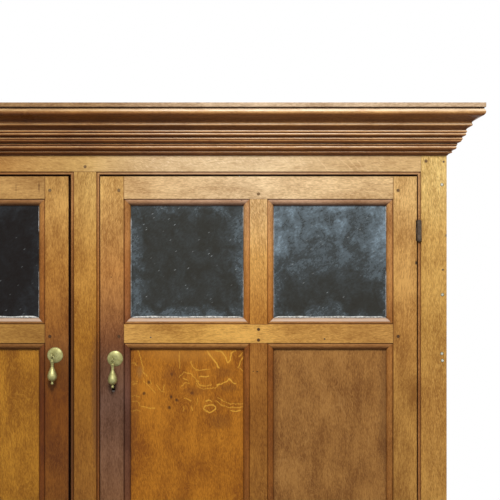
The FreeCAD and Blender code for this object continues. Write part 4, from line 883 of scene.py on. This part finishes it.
# %% Shape of the putty
def putty_runs(runs, rng, steps=140, around=8):
    """Quarter rounds in the corner between glass and wood.

    A run is (start, end, inward, size). Corner k of the section at s is path(s) + r(s) (cos a front + sin a inward),
    and r(s) = size x (0.82 + 0.09 x a sum of four sines) x a taper at both ends, but not under 0.02 mm. Where the
    section turns to the right along the path, the faces are turned round.
    """
    front = np.array((0, -1, 0))
    s = np.linspace(0, 1, steps)
    turn = np.linspace(0, np.pi / 2, around - 1)
    waves = np.arange(1, 5) * 7.3
    sections, faces = [], []
    for start, end, inward, size in runs:
        swell = np.sin(np.outer(s, waves * rng.uniform(0.6, 1.6, 4)) + rng.uniform(0, 6, 4)).sum(axis=1) / 2
        radius = size * (0.82 + 0.18 * swell) * np.clip(np.minimum(s, 1 - s) * 24, 0.02, 1)
        radius = np.maximum(radius, 0.00002)
        path = np.outer(1 - s, start) + np.outer(s, end)
        ring = np.outer(np.cos(turn), front) + np.outer(np.sin(turn), inward)
        ring = np.concatenate([np.zeros((1, 3)), ring])
        sections.append(path[:, None, :] + radius[:, None, None] * ring[None])
        leftward_turn = np.cross(front, inward) @ (np.array(end) - start) > 0
        faces.append(tube_faces(steps, around)[:, ::1 if leftward_turn else -1] + len(faces) * steps * around)
    return np.concatenate(sections), np.concatenate(faces)


# %% Build the putty
putty, tree = new_material("old_putty")
crumb = noise(tree, here(tree), (240, 240, 240), 3.0, 0.6)
chalk = mix(tree, ease(tree, crumb, 0.35, 0.65), srgb(150, 146, 136), srgb(226, 226, 222))
bump = put(tree, "Bump", {"Height": crumb, "Strength": 0.3, "Distance": 0.0006})
show(tree, put(tree, "BsdfPrincipled", {"Base Color": chalk, "Roughness": 0.85, "Normal": bump.outputs[0]}))

GLASS_FRONT = FACE + 0.0087
FOOT_SIZE, SIDE_SIZE, HEAD_SIZE = 0.0031, 0.0009, 0.001
LEFT_GAP, RIGHT_RUN, HEAD_RUN = 0.02, 0.09, 0.05
rng = np.random.default_rng(11)
foot, head = ROWS["upper"][0]
up, rightward, leftward = (0, 0, 1), (1, 0, 0), (-1, 0, 0)
for side, columns in COLUMNS.items():
    runs = []
    for left, right in columns:
        left_foot, right_foot = (left, GLASS_FRONT, foot), (right, GLASS_FRONT, foot)
        runs += [(left_foot, right_foot, up, FOOT_SIZE),
                 (left_foot, (left, GLASS_FRONT, head - LEFT_GAP), rightward, SIDE_SIZE),
                 (right_foot, (right, GLASS_FRONT, foot + RIGHT_RUN), leftward, SIDE_SIZE),
                 ((right, GLASS_FRONT, head - HEAD_RUN), (right, GLASS_FRONT, head), leftward, HEAD_SIZE)]
    corners, faces = putty_runs(runs, rng)
    new_piece(side + "_upper_door_putty", corners, faces, putty, side + "_upper_door")

# %% Build the plugs and nails
def domes(places, radius, height, sides=18, rings=5):
    """Closed lenses on the face: at ring t the radius is R sin(t) and the height is h cos(t), and -h/3 underneath.

    rim is sin(t) at each corner.
    """
    t = np.concatenate([np.linspace(0.05, np.pi / 2, rings), [np.pi / 2, 0.05]])
    lift = np.concatenate([np.cos(t[:rings]) * height, [-height / 3, -height / 3]])
    angle = np.linspace(0, 2 * np.pi, sides, endpoint=False)
    wide = np.sin(t)[:, None] * radius
    shape = np.stack([wide * np.cos(angle), np.repeat(-lift[:, None], sides, axis=1), wide * np.sin(angle)], axis=-1)
    rows = len(t)
    corners = np.array(places)[:, None, None, :] + shape[None]
    faces = tube_faces(rows, sides)[None, :, ::-1] + (np.arange(len(places)) * rows * sides)[:, None, None]
    rim = np.tile(np.repeat(np.sin(t), sides), len(places))
    return corners, faces, rim


PLUG_ACROSS, PLUG_STAGGER = 0.678, 0.001
plug_heights = [1.6818, 1.4728, 1.3607, 1.3475, 1.08, 0.84, 0.56, 0.30, 0.08]
plug_places = [(side * (PLUG_ACROSS + PLUG_STAGGER * (k % 2)), FACE, z) for side in (-1, 1)
               for k, z in enumerate(plug_heights)]
filler, tree = new_material("pale_filler")
spot = noise(tree, here(tree), (500, 500, 500), 2.0)
rim = put(tree, "Attribute", attribute_name="rim").outputs["Fac"]
stain = mix(tree, ease(tree, spot, 0.35, 0.65), srgb(186, 182, 160), srgb(232, 228, 214))
stain = mix(tree, ease(tree, rim, 0.5, 0.8), stain, srgb(118, 104, 62))
show(tree, put(tree, "BsdfPrincipled", {"Base Color": stain, "Roughness": 0.7}))
corners, faces, rim = domes(plug_places, radius=0.0034, height=0.0006)
plugs = new_piece("stile_plugs", corners, faces, filler, "carcase")
plugs.data.attributes.new("rim", "FLOAT", "POINT").data.foreach_set("value", rim)
nail_places = [(0.681, FACE, 1.7251), (-0.681, FACE, 1.7251), (0.6795, FACE, 1.52), (-0.6795, FACE, 1.52)]
corners, faces, _ = domes(nail_places, radius=0.0018, height=0.0004)
new_piece("stile_nails", corners, faces, iron, "carcase")
rail_nail_places = [(0.1246, FACE, 1.3914), (0.455, FACE, 1.3885)]
corners, faces, _ = domes(rail_nail_places, radius=0.0016, height=0.0004)
new_piece("right_upper_door_nails", corners, faces, iron, "right_upper_door")
